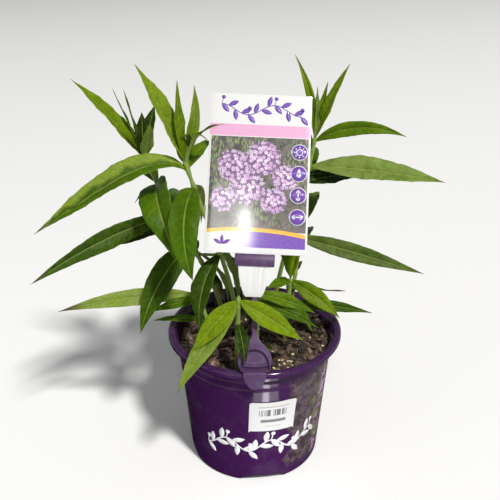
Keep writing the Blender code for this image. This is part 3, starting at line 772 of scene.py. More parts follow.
def blossom_group():
    """Five-petalled blossoms on scattered points.

    The nearest scattered point is a blossom's middle. The petals reach out by a rule of the angle
    round it: 0.34 + 0.2 times the absolute cosine of 2.5 times the angle. Each blossom is turned
    by its own random share.
    """
    group, w, entry, result = new_group(
        "Blossoms", [("Vector", "Vector", (0, 0, 0)), ("Scale", "Float", 300.0)],
        [("Petal", "Float"), ("Eye", "Float"), ("Tint", "Float")])
    far, middle, tint = w.cells(entry["Vector"], entry["Scale"])
    x, y, _ = w.axes(w.out("VectorMath", entry["Vector"], middle, operation="SUBTRACT"))
    angle = w.math("ARCTAN2", y, x) + tint * (2 * math.pi)
    reach = abs(w.math("COSINE", angle * 2.5)) * 0.2 + 0.34
    w.feed(result["Petal"], w.step(reach - far, -0.03, 0.05))
    w.feed(result["Eye"], w.step(far, 0.17, 0.06))
    w.feed(result["Tint"], tint)
    return group


def wear_group():
    """Handling marks: pale scuffs and dust as a mask, with fine lines drawn out along one way."""
    group, w, entry, result = new_group(
        "Wear", [("Vector", "Vector", (0, 0, 0)), ("Scale", "Float", 60.0), ("Amount", "Float", 0.5)],
        [("Mask", "Float"), ("Height", "Float")])
    place = entry["Vector"]
    scale = entry["Scale"]
    drawn_out = w.mapped(place, Scale=(1.0, 1.0, 0.12), Rotation=(0.5, 0.3, 0))
    lines = w.step(w.noise(drawn_out, scale * 9.0), 0.64, 0.74)
    clouds = w.step(w.noise(place, scale, 4.0, 0.6), 0.46, 0.72)
    w.feed(result["Mask"], w.math("MAXIMUM", lines * 0.6, clouds) * entry["Amount"])
    w.feed(result["Height"], w.noise(place, scale * 22.0))
    return group


def grain_group():
    """Crumbly earth colour: peat to bark by two sizes of noise, and the same noise as height."""
    group, w, entry, result = new_group(
        "Grain", [("Vector", "Vector", (0, 0, 0)), ("Tint", "Float", 0.5),
                  ("Dark", "Color", (0, 0, 0, 1)), ("Light", "Color", (1, 1, 1, 1))],
        [("Color", "Color"), ("Height", "Float")])
    coarse = w.noise(entry["Vector"], 260.0, 4.0, 0.65)
    fine = w.noise(entry["Vector"], 1400.0, 3.0, 0.6)
    both = coarse * 0.55 + fine * 0.45
    share = w.step(both, 0.36, 0.68) * entry["Tint"]
    w.feed(result["Color"], w.mix(share, entry["Dark"], entry["Light"]))
    w.feed(result["Height"], both)
    return group


def wall_radius(height):
    """Outer radius of the pot's tapered wall at a height."""
    return WALL_FOOT_RADIUS + (WALL_TOP_RADIUS - WALL_FOOT_RADIUS) * height / WALL_TOP_Z


def notch_lift(angle):
    """How far the foot is cut away: over each notch an arch whose height follows (1 - t^2)^0.75."""
    pitch = 360.0 / NOTCH_COUNT
    off = (np.degrees(angle) - NOTCH_TURN + pitch / 2) % pitch - pitch / 2
    share = np.clip(np.abs(np.radians(off)) * WALL_FOOT_RADIUS * 2 / NOTCH_WIDTH, 0, 1)
    return NOTCH_HEIGHT * (1 - share**2) ** (NOTCH_EASE / 2)


def pot_angles(sides):
    """Even columns, with more where a notch's arch is steep."""
    half = NOTCH_WIDTH / 2 / WALL_FOOT_RADIUS
    near = half * np.array([0.8, 0.88, 0.94, 0.97, 0.985, 0.995, 0.999, 1.0])
    centres = np.radians(NOTCH_TURN + np.arange(NOTCH_COUNT) * 360.0 / NOTCH_COUNT)
    extra = (centres[:, None] + np.concatenate([-near, near])).ravel()
    even = np.arange(sides) * 2 * np.pi / sides
    angles = np.sort(np.concatenate([even, extra % (2 * np.pi)]))
    return angles[np.append(np.diff(angles) > 0.0006, True)]


def pot_profile():
    """The pot's section, as (radius, height), from its foot pad over the rim and down to its floor."""
    top = POT_HEIGHT
    under = FLOOR_Z - FLOOR_THICKNESS
    below = [
        (FOOT_PAD_RADIUS - 2.0, 0.0, 0.0), (FOOT_PAD_RADIUS, 0.0, 0.4), (FOOT_PAD_RADIUS + 1.0, under, 0.5),
        (FOOT_INSIDE, under, 0.5), (FOOT_INSIDE, 0.0, 0.4),
    ]
    low = FOOT_CHAMFER * 1.5
    outer = [(WALL_FOOT_RADIUS - FOOT_CHAMFER, 0.0, 0.5),
             (WALL_FOOT_RADIUS - FOOT_CHAMFER / 4, FOOT_CHAMFER / 2, 0.7),
             (wall_radius(low), low, 1.0), (wall_radius(FOOT_SQUEEZE), FOOT_SQUEEZE, 1.0)]
    ridge = ((-RIDGE_SLOPE, 0.0, 0.4), (0.0, RIDGE_STAND, 0.4), (RIDGE_SLOPE, 0.0, 0.8))
    for middle in RIDGE_HEIGHTS:
        for rise, stand, reach in ridge:
            height = middle + rise
            outer.append((wall_radius(height) + stand, height, reach))
    neck = wall_radius(WALL_TOP_Z) + RIDGE_STAND
    outer.append((neck, top - RIM_DEPTH - RIM_UNDERCUT, 0.8))
    rim = [
        (RIM_RADIUS - RIM_EDGE, top - RIM_DEPTH, 0.5), (RIM_RADIUS, top - RIM_DEPTH + RIM_EDGE, 0.6),
        (RIM_RADIUS, top - RIM_ROUND, 1.2), (RIM_RADIUS - RIM_ROUND, top - RIM_CROWN, 1.0),
        (RIM_RADIUS - RIM_WIDTH / 2, top, 1.2), (RIM_RADIUS - RIM_WIDTH, top - 2 * RIM_CROWN, 0.9),
    ]
    inner = [
        (neck - WALL_THICKNESS, top - RIM_DEPTH, 1.0),
        (wall_radius(WALL_TOP_Z) - WALL_THICKNESS, WALL_TOP_Z - RIM_ROUND, 0.8),
        (wall_radius(FLOOR_Z) - WALL_THICKNESS, FLOOR_Z, 1.0), (FOOT_PAD_RADIUS, FLOOR_Z, 0.0),
    ]
    return rounded_line(below + outer + rim + inner)


def make_pot(settings):
    """The pot: its profile turned round, with the foot lifted at the notches and drain holes cut."""
    under = FLOOR_Z - FLOOR_THICKNESS
    profile = pot_profile()
    angle = pot_angles(settings.sides)
    radius = np.broadcast_to(profile[:, :1], (len(profile), len(angle)))
    height = np.broadcast_to(profile[:, 1:], radius.shape)
    squeeze = np.where(radius > FOOT_INSIDE + 0.3, FOOT_SQUEEZE, under)
    low = (height < squeeze) & (radius > FOOT_INSIDE - 0.6)
    lift = notch_lift(angle)[None, :]
    height = np.where(low, lift + height * (1 - lift / squeeze), height)
    poles = np.array([[0, 0, 0], [0, 0, FLOOR_Z]])
    shape = Piece()
    shape.add(skins(turned(radius, angle, height), poles), barrel_quads(*radius.shape))
    pot = shape.build("pot_shell", pot_plastic(settings))
    cut(pot, drain_drills(under - 3.0, FLOOR_Z + 3.0))
    pot.data.set_sharp_from_angle(angle=math.radians(40))
    return settle(pot, "pot_plastic", "pot")


def drain_drills(low, high, sides=24):
    """The drain holes' cutters: round pegs on a ring."""
    drills = Piece()
    turn = np.linspace(0, 2 * np.pi, sides, endpoint=False)
    for number in range(DRAIN_COUNT):
        middle = (number + 0.5) * 2 * np.pi / DRAIN_COUNT
        x = DRAIN_RING * np.cos(middle) + DRAIN_RADIUS * np.cos(turn)
        y = DRAIN_RING * np.sin(middle) + DRAIN_RADIUS * np.sin(turn)
        wall = [np.stack([x, y, 0 * turn + end], -1) for end in (low, high)]
        caps = np.array([[x.mean(), y.mean(), end] for end in (low, high)])
        drills.add(skins(*wall, caps), barrel_quads(2, sides))
    return drills.build("drills")


def cut(thing, tool):
    """Cuts a tool out of a piece, and removes the tool."""
    modifier = thing.modifiers.new("cut", "BOOLEAN")
    modifier.operation = "DIFFERENCE"
    modifier.object = tool
    bpy.context.view_layer.update()
    result = bpy.data.meshes.new_from_object(thing.evaluated_get(bpy.context.evaluated_depsgraph_get()))
    thing.modifiers.clear()
    thing.data = result
    bpy.data.objects.remove(tool, do_unlink=True)


def pot_plastic(settings):
    """Glossy purple plastic, with a foliage print that fades in from the flanks round the back."""
    material, w, shader, place = finish("pot plastic", 0.3, specular_ior_level=0.5)
    x, y, z = w.axes(place)
    angle = w.math("ARCTAN2", x, y * -1.0)
    flat = w.vector(angle * PRINT_RADIUS, z)
    patchy = w.noise(flat, 42.0, 5.0, 0.65)
    turn = abs(angle + PRINT_TURN) + (patchy - 0.5) * 0.8
    printed = w.step(turn, 0.80, 0.90) * (w.step(z, 0.006, 0.016) * w.step(z, 0.1005, 0.094))

    light = w.step(w.noise(flat, 120.0, 4.0, 0.7), 0.42, 0.58)
    ground = w.mix(light, scaled(settings.dusk, 0.35), settings.dusk)
    far, _, own = w.cells(w.mapped(flat, Scale=(1.0, 0.42, 1.0), Rotation=(0, 0, 0.6)), 150.0)
    leafy = w.step(far, 0.50, 0.36) * w.step(w.noise(flat, 60.0), 0.40, 0.52)
    green = w.mix(own, settings.olive, (0.060, 0.110, 0.030))
    ground = w.mix(leafy * w.step(turn, 1.14, 1.32), ground, green)
    clumps = w.step(w.noise(flat, 55.0), 0.50, 0.58) * w.step(turn, 1.22, 1.47)
    flower = w.group(shared(blossom_group), vector=flat, scale=170.0)
    petals = w.mix(flower["Tint"], settings.petal, (0.72, 0.44, 0.74))
    petals = w.mix(flower["Eye"], petals, (0.20, 0.04, 0.22))
    ground = w.mix(flower["Petal"] * clumps, ground, petals)

    marks = w.group(shared(wear_group), vector=place, scale=55.0, amount=0.28)
    purple = w.mix(w.noise(place, 16.0, 3.0), settings.purple, scaled(settings.purple, 1.5))
    colour = w.mix(printed * 0.92, purple, ground)
    w.feed(shader["Base Color"], w.mix(marks["Mask"] * 0.35, colour, (0.20, 0.15, 0.24)))
    w.feed(shader["Roughness"], w.span(marks["Mask"], 0.0, 0.4, 0.11, 0.34))
    relief(w, shader, marks["Height"], 0.05, 0.0003)
    return material


def soil_height(x, y):
    """Height of the potting mix: a slight crown with lumps from crossed waves, as in the solids."""
    distance = np.hypot(x, y)
    angle = np.arctan2(y, x)
    lumps = sum(
        size * np.sin(count * angle + phase) * np.cos(pace * distance + phase)
        for size, count, pace, phase in SOIL_LUMPS
    )
    crown = SOIL_CROWN * np.cos(distance / SOIL_CROWN_REACH)
    return SOIL_TOP + crown + lumps * np.clip(distance / SOIL_CALM, 0, 1)


def crumbs(x, y):
    """The fine surface on the soil: crumbs of three sizes, each the absolute of a smooth noise."""
    coarse = np.abs(bumps(x, y, 6.5, 1)) * 2.9
    middle = np.abs(bumps(x, y, 2.6, 2)) * 1.4
    fine = bumps(x, y, 1.1, 3) * 0.35
    return coarse + middle + fine - 1.9


def on_soil(x, y, lift):
    """Points on the crumbly top of the mix, lifted by an amount."""
    return np.stack([x, y, soil_height(x, y) + crumbs(x, y) + lift], -1)


def make_soil(settings):
    """The potting mix: a polar grid whose rings climb the wall's taper and cross the crumbly top."""
    angle = np.arange(SOIL_SIDES) * 2 * np.pi / SOIL_SIDES
    top_radius = wall_radius(SOIL_TOP) - WALL_THICKNESS - 0.15
    low_radius = wall_radius(FLOOR_Z) - WALL_THICKNESS - 0.5
    rings = top_radius * np.linspace(1, 0, SOIL_RINGS, endpoint=False) ** 0.9
    x = rings[:, None] * np.cos(angle)
    y = rings[:, None] * np.sin(angle)
    edge = smooth_step(np.hypot(x, y), top_radius - 3.0, top_radius)
    top = np.stack([x, y, soil_height(x, y) + crumbs(x, y) * (1 - edge) - 1.2 * edge], -1)
    share = np.linspace(0, 1, 6, endpoint=False)[:, None]
    radius = low_radius + (top_radius - low_radius) * share
    height = FLOOR_Z + GAP + (top[0, :, 2] - FLOOR_Z - GAP) * share
    poles = np.array([[0, 0, FLOOR_Z + GAP], on_soil(np.zeros(1), np.zeros(1), 0.0)[0]])
    shape = Piece()
    shape.add(skins(turned(radius, angle, height), top, poles),
              barrel_quads(len(share) + len(rings), SOIL_SIDES))
    settle(shape.build("soil_body", soil_finish(settings)), "potting_mix", "potting_mix")


def soil_finish(settings):
    """The dark crumbly mix."""
    material, w, shader, place = finish("potting mix", 0.95)
    earth = w.group(shared(grain_group), vector=place, tint=0.2, dark=settings.dark, light=settings.bark)
    w.feed(shader["Base Color"], earth["Color"])
    relief(w, shader, earth["Height"], 0.8, 0.001)
    return material


def scatter(draw, count, reach, right_bias=0.0):
    """Even random places on the soil's disc, drawn towards the lit right side by a bias."""
    radius = reach * np.sqrt(draw.uniform(0, 1, count))
    angle = draw.uniform(0, 2 * np.pi, count)
    x = radius * np.cos(angle)
    y = radius * np.sin(angle)
    return np.where((draw.uniform(0, 1, count) < right_bias) & (x < 0), -x, x), y


def turned_frames(draw, count, tilt):
    """Random right-angled frames whose third direction leans from the vertical by about tilt."""
    up = unit(np.stack([draw.normal(0, tilt, count), draw.normal(0, tilt, count), np.ones(count)], -1))
    yaw = draw.uniform(0, 2 * np.pi, count)
    ahead = np.stack([np.cos(yaw), np.sin(yaw), 0 * yaw], -1)
    ahead = unit(ahead - np.sum(ahead * up, -1, keepdims=True) * up)
    return np.stack([ahead, np.cross(up, ahead), up], 1)


def many(points, quads, piece, **layers):
    """Adds the same quads for each of a stack of point sets."""
    count, each = points.shape[:2]
    shift = np.arange(count)[:, None, None] * each
    values = {name: np.repeat(value, each) for name, value in layers.items()}
    piece.add(points.reshape(-1, 3), (quads[None] + shift).reshape(-1, 4), **values)


def make_bits(settings):
    """Bark chips, fibres and feed pellets on the soil, all from one run of random draws."""
    draw = np.random.default_rng(settings.seed)
    reach = wall_radius(SOIL_TOP) - WALL_THICKNESS - 2.2
    make_chips(settings, draw, reach)
    make_fibres(settings, draw, reach - 3.0)
    make_pellets(settings, draw, reach - 2.0)


def make_chips(settings, draw, reach):
    """Bark chips: three uneven rings of six points each, closed by flat ends and turned at random."""
    count = settings.chips
    x, y = scatter(draw, count, reach)
    length = draw.gamma(2.6, 1.9, count).clip(1.3, 13.0)
    width = (length * draw.uniform(0.25, 0.7, count)).clip(0.8, 5.5)
    thick = (width * draw.uniform(0.35, 0.9, count)).clip(0.45, 3.4)
    corner = np.linspace(0, 2 * np.pi, 6, endpoint=False)
    ends = np.array([-0.5, 0.02, 0.5])
    girth = np.stack([draw.uniform(0.4, 0.95, count), np.ones(count), draw.uniform(0.35, 0.95, count)], 1)
    girth = girth[:, :, None] * draw.uniform(0.78, 1.12, (count, 3, 6))
    along = length[:, None, None] * (ends[None, :, None] + draw.normal(0, 0.05, (count, 3, 6)))
    across = width[:, None, None] / 2 * girth * np.cos(corner)
    rise = thick[:, None, None] / 2 * girth * np.sin(corner)
    local = np.stack([along, across, rise], -1).reshape(count, 18, 3)
    frames = turned_frames(draw, count, 0.55)
    middle = on_soil(x, y, thick * draw.uniform(-0.1, 0.7, count))
    chips = np.einsum("nij,njk->nik", local, frames) + middle[:, None]
    caps = np.array([[0, 3, 2, 1], [0, 5, 4, 3], [12, 13, 14, 15], [12, 15, 16, 17]])
    quads = np.vstack([grid_quads(3, 6, round_columns=True), caps])
    shape = Piece()
    many(chips, quads, shape, tint=draw.beta(1.0, 2.1, count))
    settle(shape.build("bark_chips", chip_finish(settings), smooth=False), "potting_mix")


def chip_finish(settings):
    """Bark whose every chip has its own tint, the paler ones rougher."""
    material, w, shader, place = finish("bark chips", 0.85)
    tint = w.attribute("tint")
    earth = w.group(shared(grain_group), vector=place, tint=w.span(tint, 0.0, 1.0, 0.1, 1.3),
                    dark=settings.dark, light=settings.bark)
    w.feed(shader["Base Color"], earth["Color"])
    w.feed(shader["Roughness"], w.span(tint, 0.0, 1.0, 0.62, 0.95))
    relief(w, shader, earth["Height"], 0.6, 0.0006)
    return material


def make_fibres(settings, draw, reach):
    """Root and bark fibres: thin tubes bent sideways and arched, thinner at their ends."""
    count = settings.fibres
    x, y = scatter(draw, count, reach, 0.3)
    length = draw.uniform(7, 20, count)
    share = np.linspace(-0.5, 0.5, 9)
    bend = draw.uniform(-0.5, 0.5, count)[:, None]
    along = length[:, None] * share
    aside = length[:, None] * bend * (share**2 * 2) + draw.normal(0, 0.25, (count, 9))
    frames = turned_frames(draw, count, 0.16)
    middle = on_soil(x, y, draw.uniform(0.6, 2.0, count))
    arch = 0.9 - 3.6 * share**2 * draw.uniform(0.3, 1.6, count)[:, None]
    spine = np.einsum("nij,njk->nik", np.stack([along, aside, arch], -1), frames) + middle[:, None]
    thread = tube(spine, draw.uniform(0.16, 0.34, count)[:, None] * (1.1 - 1.6 * np.abs(share)), 5)
    shape = Piece()
    many(thread, barrel_quads(9, 5), shape, tint=draw.uniform(0.2, 1.0, count))
    material, w, shader, place = finish("fibre", 0.8)
    straw = w.mix(w.noise(place, 500.0), (0.30, 0.20, 0.11), (0.09, 0.05, 0.03))
    w.feed(shader["Base Color"], w.mix(w.attribute("tint"), (0.10, 0.06, 0.04), straw))
    settle(shape.build("soil_fibres", material), "potting_mix")


def make_pellets(settings, draw, reach):
    """Round feed pellets, about half of them in a heap."""
    count = settings.pellets
    x, y = scatter(draw, count, reach, 0.75)
    heaped = draw.uniform(0, 1, count) < PELLETS_HEAPED
    x = np.where(heaped, draw.normal(PELLET_HEAP[0], PELLET_SPREAD, count), x)
    y = np.where(heaped, draw.normal(PELLET_HEAP[1], PELLET_SPREAD, count), y)
    size = draw.uniform(1.0, 1.6, count)
    rows, sides = 9, 12
    lat = np.linspace(-np.pi / 2 + 0.12, np.pi / 2 - 0.12, rows)[:, None]
    lon = np.linspace(0, 2 * np.pi, sides, endpoint=False)
    ball = np.stack([np.cos(lat) * np.cos(lon), np.cos(lat) * np.sin(lon), np.sin(lat) + 0 * lon], -1)
    ball = skins(ball, np.array([[0, 0, -1], [0, 0, 1]]))
    balls = ball[None] * size[:, None, None] + on_soil(x, y, size * 0.95)[:, None]
    shape = Piece()
    many(balls, barrel_quads(rows, sides), shape, tint=draw.uniform(0, 1, count))
    material, w, shader, place = finish("feed pellets", 0.35, subsurface_weight=0.1)
    pellet = w.mix(w.attribute("tint"), (0.74, 0.62, 0.28), (0.86, 0.80, 0.52))
    speckled = w.step(w.noise(place, 900.0), 0.55, 0.75)
    w.feed(shader["Base Color"], w.mix(speckled, pellet, (0.35, 0.25, 0.10)))
    settle(shape.build("feed_pellets", material), "potting_mix")


def tube(spine, radius, sides):
    """Round sections carried along spines.

    spine is (..., stations, 3) and radius (..., stations). Two directions square to the path are
    found from a fixed slanting one, and each section is their cosine and sine times the radius.
    """
    ahead = unit(np.gradient(spine, axis=-2))
    side = unit(np.cross(ahead, [0.31, 0.93, 0.19]))
    other = np.cross(ahead, side)
    angle = np.linspace(0, 2 * np.pi, sides, endpoint=False)[:, None]
    spokes = side[..., None, :] * np.cos(angle) + other[..., None, :] * np.sin(angle)
    rings = spine[..., None, :] + spokes * radius[..., None, None]
    ends = np.stack([spine[..., 0, :], spine[..., -1, :]], -2)
    return np.concatenate([rings.reshape(*spine.shape[:-2], -1, 3), ends], -2)


def lean_axes(turn=0.0):
    """The clip's own directions: across it, up the stake, and out of its front."""
    lean = math.radians(LEAN)
    turn = math.radians(turn)
    side = np.array([1.0, 0.0, 0.0])
    rise = np.array([0.0, math.sin(lean), math.cos(lean)])
    across = side * math.cos(turn) - rise * math.sin(turn)
    up = rise * math.cos(turn) + side * math.sin(turn)
    return across, up, np.cross(across, up)


def head_place():
    """The middle of the clip's head."""
    return np.array(CLIP_START) + lean_axes()[1] * HEAD_CENTRE


def in_axes(start, axes, x, y, z):
    """Points at x, y and z along three directions from a start."""
    points = start
    for length, way in zip((x, y, z), axes):
        points = points + np.asarray(length)[..., None] * way
    return points


def shield_half_width(q, top):
    """Half width of the shield and stake: the table's corners are eased and the foot drawn in."""
    rise, half = np.array(SHIELD_HALF_WIDTHS, float).T
    fine = np.linspace(-4, top + 4, 900)
    kernel = np.hanning(31)
    eased = np.convolve(np.interp(fine, rise, half), kernel / kernel.sum(), "same")
    width = np.interp(q, fine, eased)
    return np.where(q < 3, np.maximum(width - (3 - q) * 0.1, 8.2), width)


def pocket_depth(x, q):
    """How deep the shield's front lies in and round its pocket.

    Inside a D-shaped line the front sinks. A low ridge follows that line, and a rounded lip lies
    along its flat side.
    """
    share = np.clip((q - POCKET_LOW) / (POCKET_HIGH - POCKET_LOW), 0, 2)
    inside = 1 - (x / (POCKET_WIDTH / 2)) ** 2 - share**2.5
    inside = np.minimum(inside, (q - POCKET_LOW) * 0.22)
    ridge = POCKET_RIDGE * np.exp(-((inside + 0.05) / 0.07) ** 2)
    lip = POCKET_LIP * np.exp(-((q - POCKET_LIP_RISE - 0.012 * x**2) / 1.35) ** 2)
    lip = lip * smooth_step(inside, 0.05, 0.3)
    return smooth_step(inside, 0.0, 0.13) * POCKET_DEPTH - ridge - lip


def shield_shell():
    """The shield and stake in one: a front and a back surface over a width that changes as it rises."""
    top = HEAD_CENTRE + HEAD_HEIGHT / 2 - 1.0
    q = np.concatenate([np.linspace(0, 28, 104), np.linspace(28.8, top, 40)])
    width = shield_half_width(q, top)[:, None]
    p = np.linspace(-1, 1, 45)
    x = np.sign(p) * np.abs(p) ** 0.85 * width
    q = q[:, None] + 0 * x
    edge = rounding(width - np.abs(x), 0.8)
    neck = smooth_step(q, 19, 27)
    back = -SLOT_DEPTH / 2
    front = back * neck - edge - rounding(q, 0.7) - pocket_depth(x, q)
    rear = -SHIELD_THICKNESS + (back - STAKE_THICKNESS + SHIELD_THICKNESS) * neck + edge
    start = np.array(CLIP_START)
    axes = lean_axes()
    return skins(in_axes(start, axes, x, q, front), in_axes(start, axes, x, q, rear)), shell_quads(*x.shape)


def rounded_box_ring(half_x, half_y, radius, steps=6):
    """A rectangle with round corners, as points (x, y)."""
    inner_x = half_x - radius
    inner_y = half_y - radius
    ring = []
    for number, (x, y) in enumerate(((inner_x, inner_y), (-inner_x, inner_y), (-inner_x, -inner_y),
                                     (inner_x, -inner_y))):
        sweep = np.linspace(0, np.pi / 2, steps) + number * np.pi / 2
        ring.append(np.stack([x + radius * np.cos(sweep), y + radius * np.sin(sweep)], 1))
    return np.vstack(ring)


def head_shell():
    """The slotted head: rings of a rounded rectangle up its outside and down its slot, closed."""
    deep = SLOT_DEPTH / 2 + HEAD_WALL
    half = HEAD_HEIGHT / 2
    wide = HEAD_WIDTH / 2
    soft = 0.5
    slot_x = SLOT_WIDTH / 2
    slot_y = SLOT_DEPTH / 2
    flare = 0.2
    rings = [
        (wide - soft, deep - soft, 0.7, -half), (wide, deep, 1.0, soft - half),
        (wide, deep, 1.0, half - soft), (wide - soft, deep - soft, 0.7, half),
        (slot_x + flare, slot_y + flare, 0.4, half), (slot_x, slot_y, 0.3, half - 0.3),
        (slot_x, slot_y, 0.3, 0.3 - half), (slot_x + flare, slot_y + flare, 0.4, -half),
    ]
    points = []
    axes = lean_axes(HEAD_TURN)
    for half_x, half_y, radius, rise in rings:
        ring = rounded_box_ring(half_x, half_y, radius)
        points.append(in_axes(head_place(), axes, ring[:, 0], 0 * ring[:, 0] + rise, ring[:, 1]))
    return np.vstack(points), grid_quads(len(rings), len(points[0]), True, True)


def hook_shell():
    """The hook: a strip bent from inside the rim, over it and down the front, where it ends round."""
    leg = HOOK_LEG_REACH - HOOK_THICKNESS / 2
    flap = RIM_RADIUS + GAP + HOOK_THICKNESS / 2
    over = CLIP_START[2] - 0.2 - HOOK_THICKNESS / 2
    bend = 1.6
    knee = over - 1.8
    line = rounded_line([(leg, POT_HEIGHT - HOOK_LEG_DROP, 0), (leg, over, bend), (flap, over, bend),
                         (flap, knee, 0.1)], 9)
    drop = np.sin(np.linspace(0, np.pi / 2, 16))[1:] * (HOOK_DROP - 2.6)
    line = np.vstack([line, np.stack([0 * drop + flap, knee - drop], 1)])
    fall = np.clip((over - line[:, 1]) / (HOOK_DROP - 0.75), 0, 1)
    narrowed = np.where(line[:, 0] > flap - 0.2, np.sqrt(1 - fall**2).clip(0.05, 1), 1)
    half = narrowed[:, None] * HOOK_WIDTH / 2
    ahead = unit(np.gradient(line, axis=0))
    out = np.stack([-ahead[:, 1], ahead[:, 0]], 1)
    p = np.linspace(-1, 1, 17)
    x = CLIP_X + half * p
    bulge = (HOOK_THICKNESS / 2 - rounding(half - np.abs(p) * half, 0.6))[..., None]
    grids = []
    for way in (1, -1):
        reach, height = np.moveaxis(line[:, None] + way * out[:, None] * bulge, -1, 0)
        grids.append(np.stack([x, -reach, height], -1))
    return skins(*grids), shell_quads(*x.shape)


def make_clip(settings):
    """The clip: shield and stake, slotted head and hook."""
    shape = Piece()
    for points, quads in (shield_shell(), head_shell(), hook_shell()):
        shape.add(points, quads)
    material, w, shader, place = finish("clip plastic", 0.4, specular_ior_level=0.3)
    marks = w.group(shared(wear_group), vector=place, scale=140.0, amount=0.5)
    tone = w.mix(w.noise(place, 45.0, 3.0), settings.clip, scaled(settings.clip, 1.4))
    w.feed(shader["Base Color"], w.mix(marks["Mask"] * 0.35, tone, (0.26, 0.19, 0.32)))
    w.feed(shader["Roughness"], w.span(marks["Mask"], 0.0, 0.5, 0.34, 0.52))
    relief(w, shader, marks["Height"], 0.16, 0.0004)
    settle(shape.build("clip_body", material, sharp=50), "clip_plastic", "label_clip")


def label_half_width(y):
    """Half width of the card at a height: the tongue below 0, round corners above."""
    low, half = np.array(TONGUE_WIDTHS).T
    corner = rounding(np.minimum(y, LABEL_HEIGHT - y), LABEL_CORNER)
    return np.where(y < 0, np.interp(y, low, half), LABEL_WIDTH / 2 - corner)


def on_label(x, y, z):
    """Points on the card: x across, y up from its shoulder, z out from its middle plane."""
    axes = lean_axes(HEAD_TURN)
    start = head_place() + axes[1] * (HEAD_HEIGHT / 2 + GAP)
    return in_axes(start, axes, x, y, z)


def sheet_uv(x, y, start, span):
    """A flat sheet's UV map: its lengths over a span, counted from a start."""
    return np.stack([x / span[0] + start[0], y / span[1] + start[1]], -1).reshape(-1, 2)


def make_label(settings):
    """The label: two faces over the card's half width, with rounded edges between."""
    y = np.concatenate([np.linspace(-TONGUE_LENGTH, -0.02, 22), np.linspace(0, LABEL_CORNER, 7),
                        np.linspace(3, 119, 40), np.linspace(LABEL_HEIGHT - LABEL_CORNER, LABEL_HEIGHT, 7)])
    half = label_half_width(y)[:, None]
    x = half * np.linspace(-1, 1, 33)
    y = y[:, None] + 0 * x
    inset = np.minimum(half - np.abs(x), np.minimum(LABEL_HEIGHT - y, y + TONGUE_LENGTH))
    deep = LABEL_THICKNESS / 2 - rounding(inset, 0.25)
    uv = sheet_uv(x, y, LABEL_UV_START, LABEL_UV_SPAN)
    quads = shell_quads(*x.shape)
    shape = Piece()
    shape.add(skins(on_label(x, y, deep), on_label(x, y, -deep)), quads, uv=np.vstack([uv, uv]))
    front = (x.shape[0] - 1) * (x.shape[1] - 1)
    shape.slots[0] = np.where(np.arange(len(quads)) < front, 0, 1)
    label = shape.build("label_card", label_front(settings), plain_card(settings), sharp=35)
    settle(label, "label_card", "plant_label")


def plain_card(settings):
    """The bare back of the card, a little soiled."""
    material, w, shader, place = finish("card back", 0.45, coat_weight=0.2)
    soiled = w.step(w.noise(place, 60.0, 4.0), 0.5, 0.8)
    w.feed(shader["Base Color"], w.mix(soiled, settings.card, (0.72, 0.72, 0.75)))
    return material


def label_front(settings):
    """The printed front: white margins, a pink band, a blossom picture, a gold and a violet band."""
    material, w, shader, _ = finish("label print", 0.32, coat_weight=1.0, coat_roughness=0.09)
    x, y, flat = w.sheet(LABEL_UV_START, LABEL_UV_SPAN)
    wide = w.between(x, -36.6, 36.8)
    colour = w.mix(w.between(y, 16.6, 88.4) * wide, settings.card, blossom_picture(w, x, y, flat))
    colour = w.mix(w.between(y, 89.0, 98.0) * w.between(x, -38.0, 38.0), colour, settings.pink)
    bowed = y + (x + 6.0) ** 2.0 * 0.0022
    colour = w.mix(w.between(bowed, 16.4, 19.4) * wide, colour, settings.gold)
    below = w.math("LESS_THAN", bowed, 16.4) * w.math("GREATER_THAN", y, 4.4)
    colour = w.mix(below * w.between(x, -9.0, 36.8), colour, settings.violet)
    streak = w.noise(w.vector(x * 0.9, y * 0.05), 0.5)
    streaky = w.math("LESS_THAN", y, 0.0) * (w.step(streak, 0.45, 0.75) * 0.5)
    w.feed(shader["Base Color"], w.mix(streaky, colour, (0.56, 0.56, 0.57)))
    w.feed(shader["Roughness"], w.span(w.noise(flat, 0.6, 3.0), 0.3, 0.7, 0.22, 0.4))
    return material


def blossom_picture(w, x, y, flat):
    """The label's picture: round heads of small pink blossoms before dim leaves and earth."""
    light = w.step(w.noise(flat, 0.16, 4.0, 0.7), 0.32, 0.66)
    ground = w.mix(light, (0.018, 0.024, 0.018), (0.17, 0.13, 0.12))
    far, _, _ = w.cells(w.mapped(flat, Scale=(1.0, 0.32, 1.0), Rotation=(0, 0, 0.5)), 0.55)
    lit = w.step(w.noise(flat, 0.045), 0.42, 0.58)
    blades = w.mix(lit, (0.07, 0.12, 0.045), (0.26, 0.38, 0.13))
    ground = w.mix(w.step(far, 0.45, 0.1) * 0.85, ground, blades)
    ground = w.mix(w.step(y, 30.0, 16.0) * 0.7, ground, (0.20, 0.15, 0.16))
    uneven = (w.noise(flat, 0.35, 3.0) - 0.5) * 9.0
    heads = None
    for middle_x, middle_y, radius in FLOWER_HEADS:
        share = (w.math("SQRT", (x - middle_x) ** 2.0 + (y - middle_y) ** 2.0) + uneven) / radius
        heads = share if heads is None else w.math("MINIMUM", heads, share)
    flower = w.group(shared(blossom_group), vector=flat, scale=0.35)
    petals = w.mix(flower["Tint"], (0.66, 0.38, 0.68), (0.90, 0.80, 0.91))
    petals = w.mix(flower["Eye"], petals, (0.42, 0.10, 0.38))
    massed = w.mix(flower["Petal"], (0.17, 0.09, 0.20), petals)
    massed = w.mix(w.step(heads, 0.35, 1.0), massed, w.mix(0.35, massed, (0.20, 0.10, 0.26)))
    return w.mix(w.step(heads, 1.04, 0.96), ground, massed)


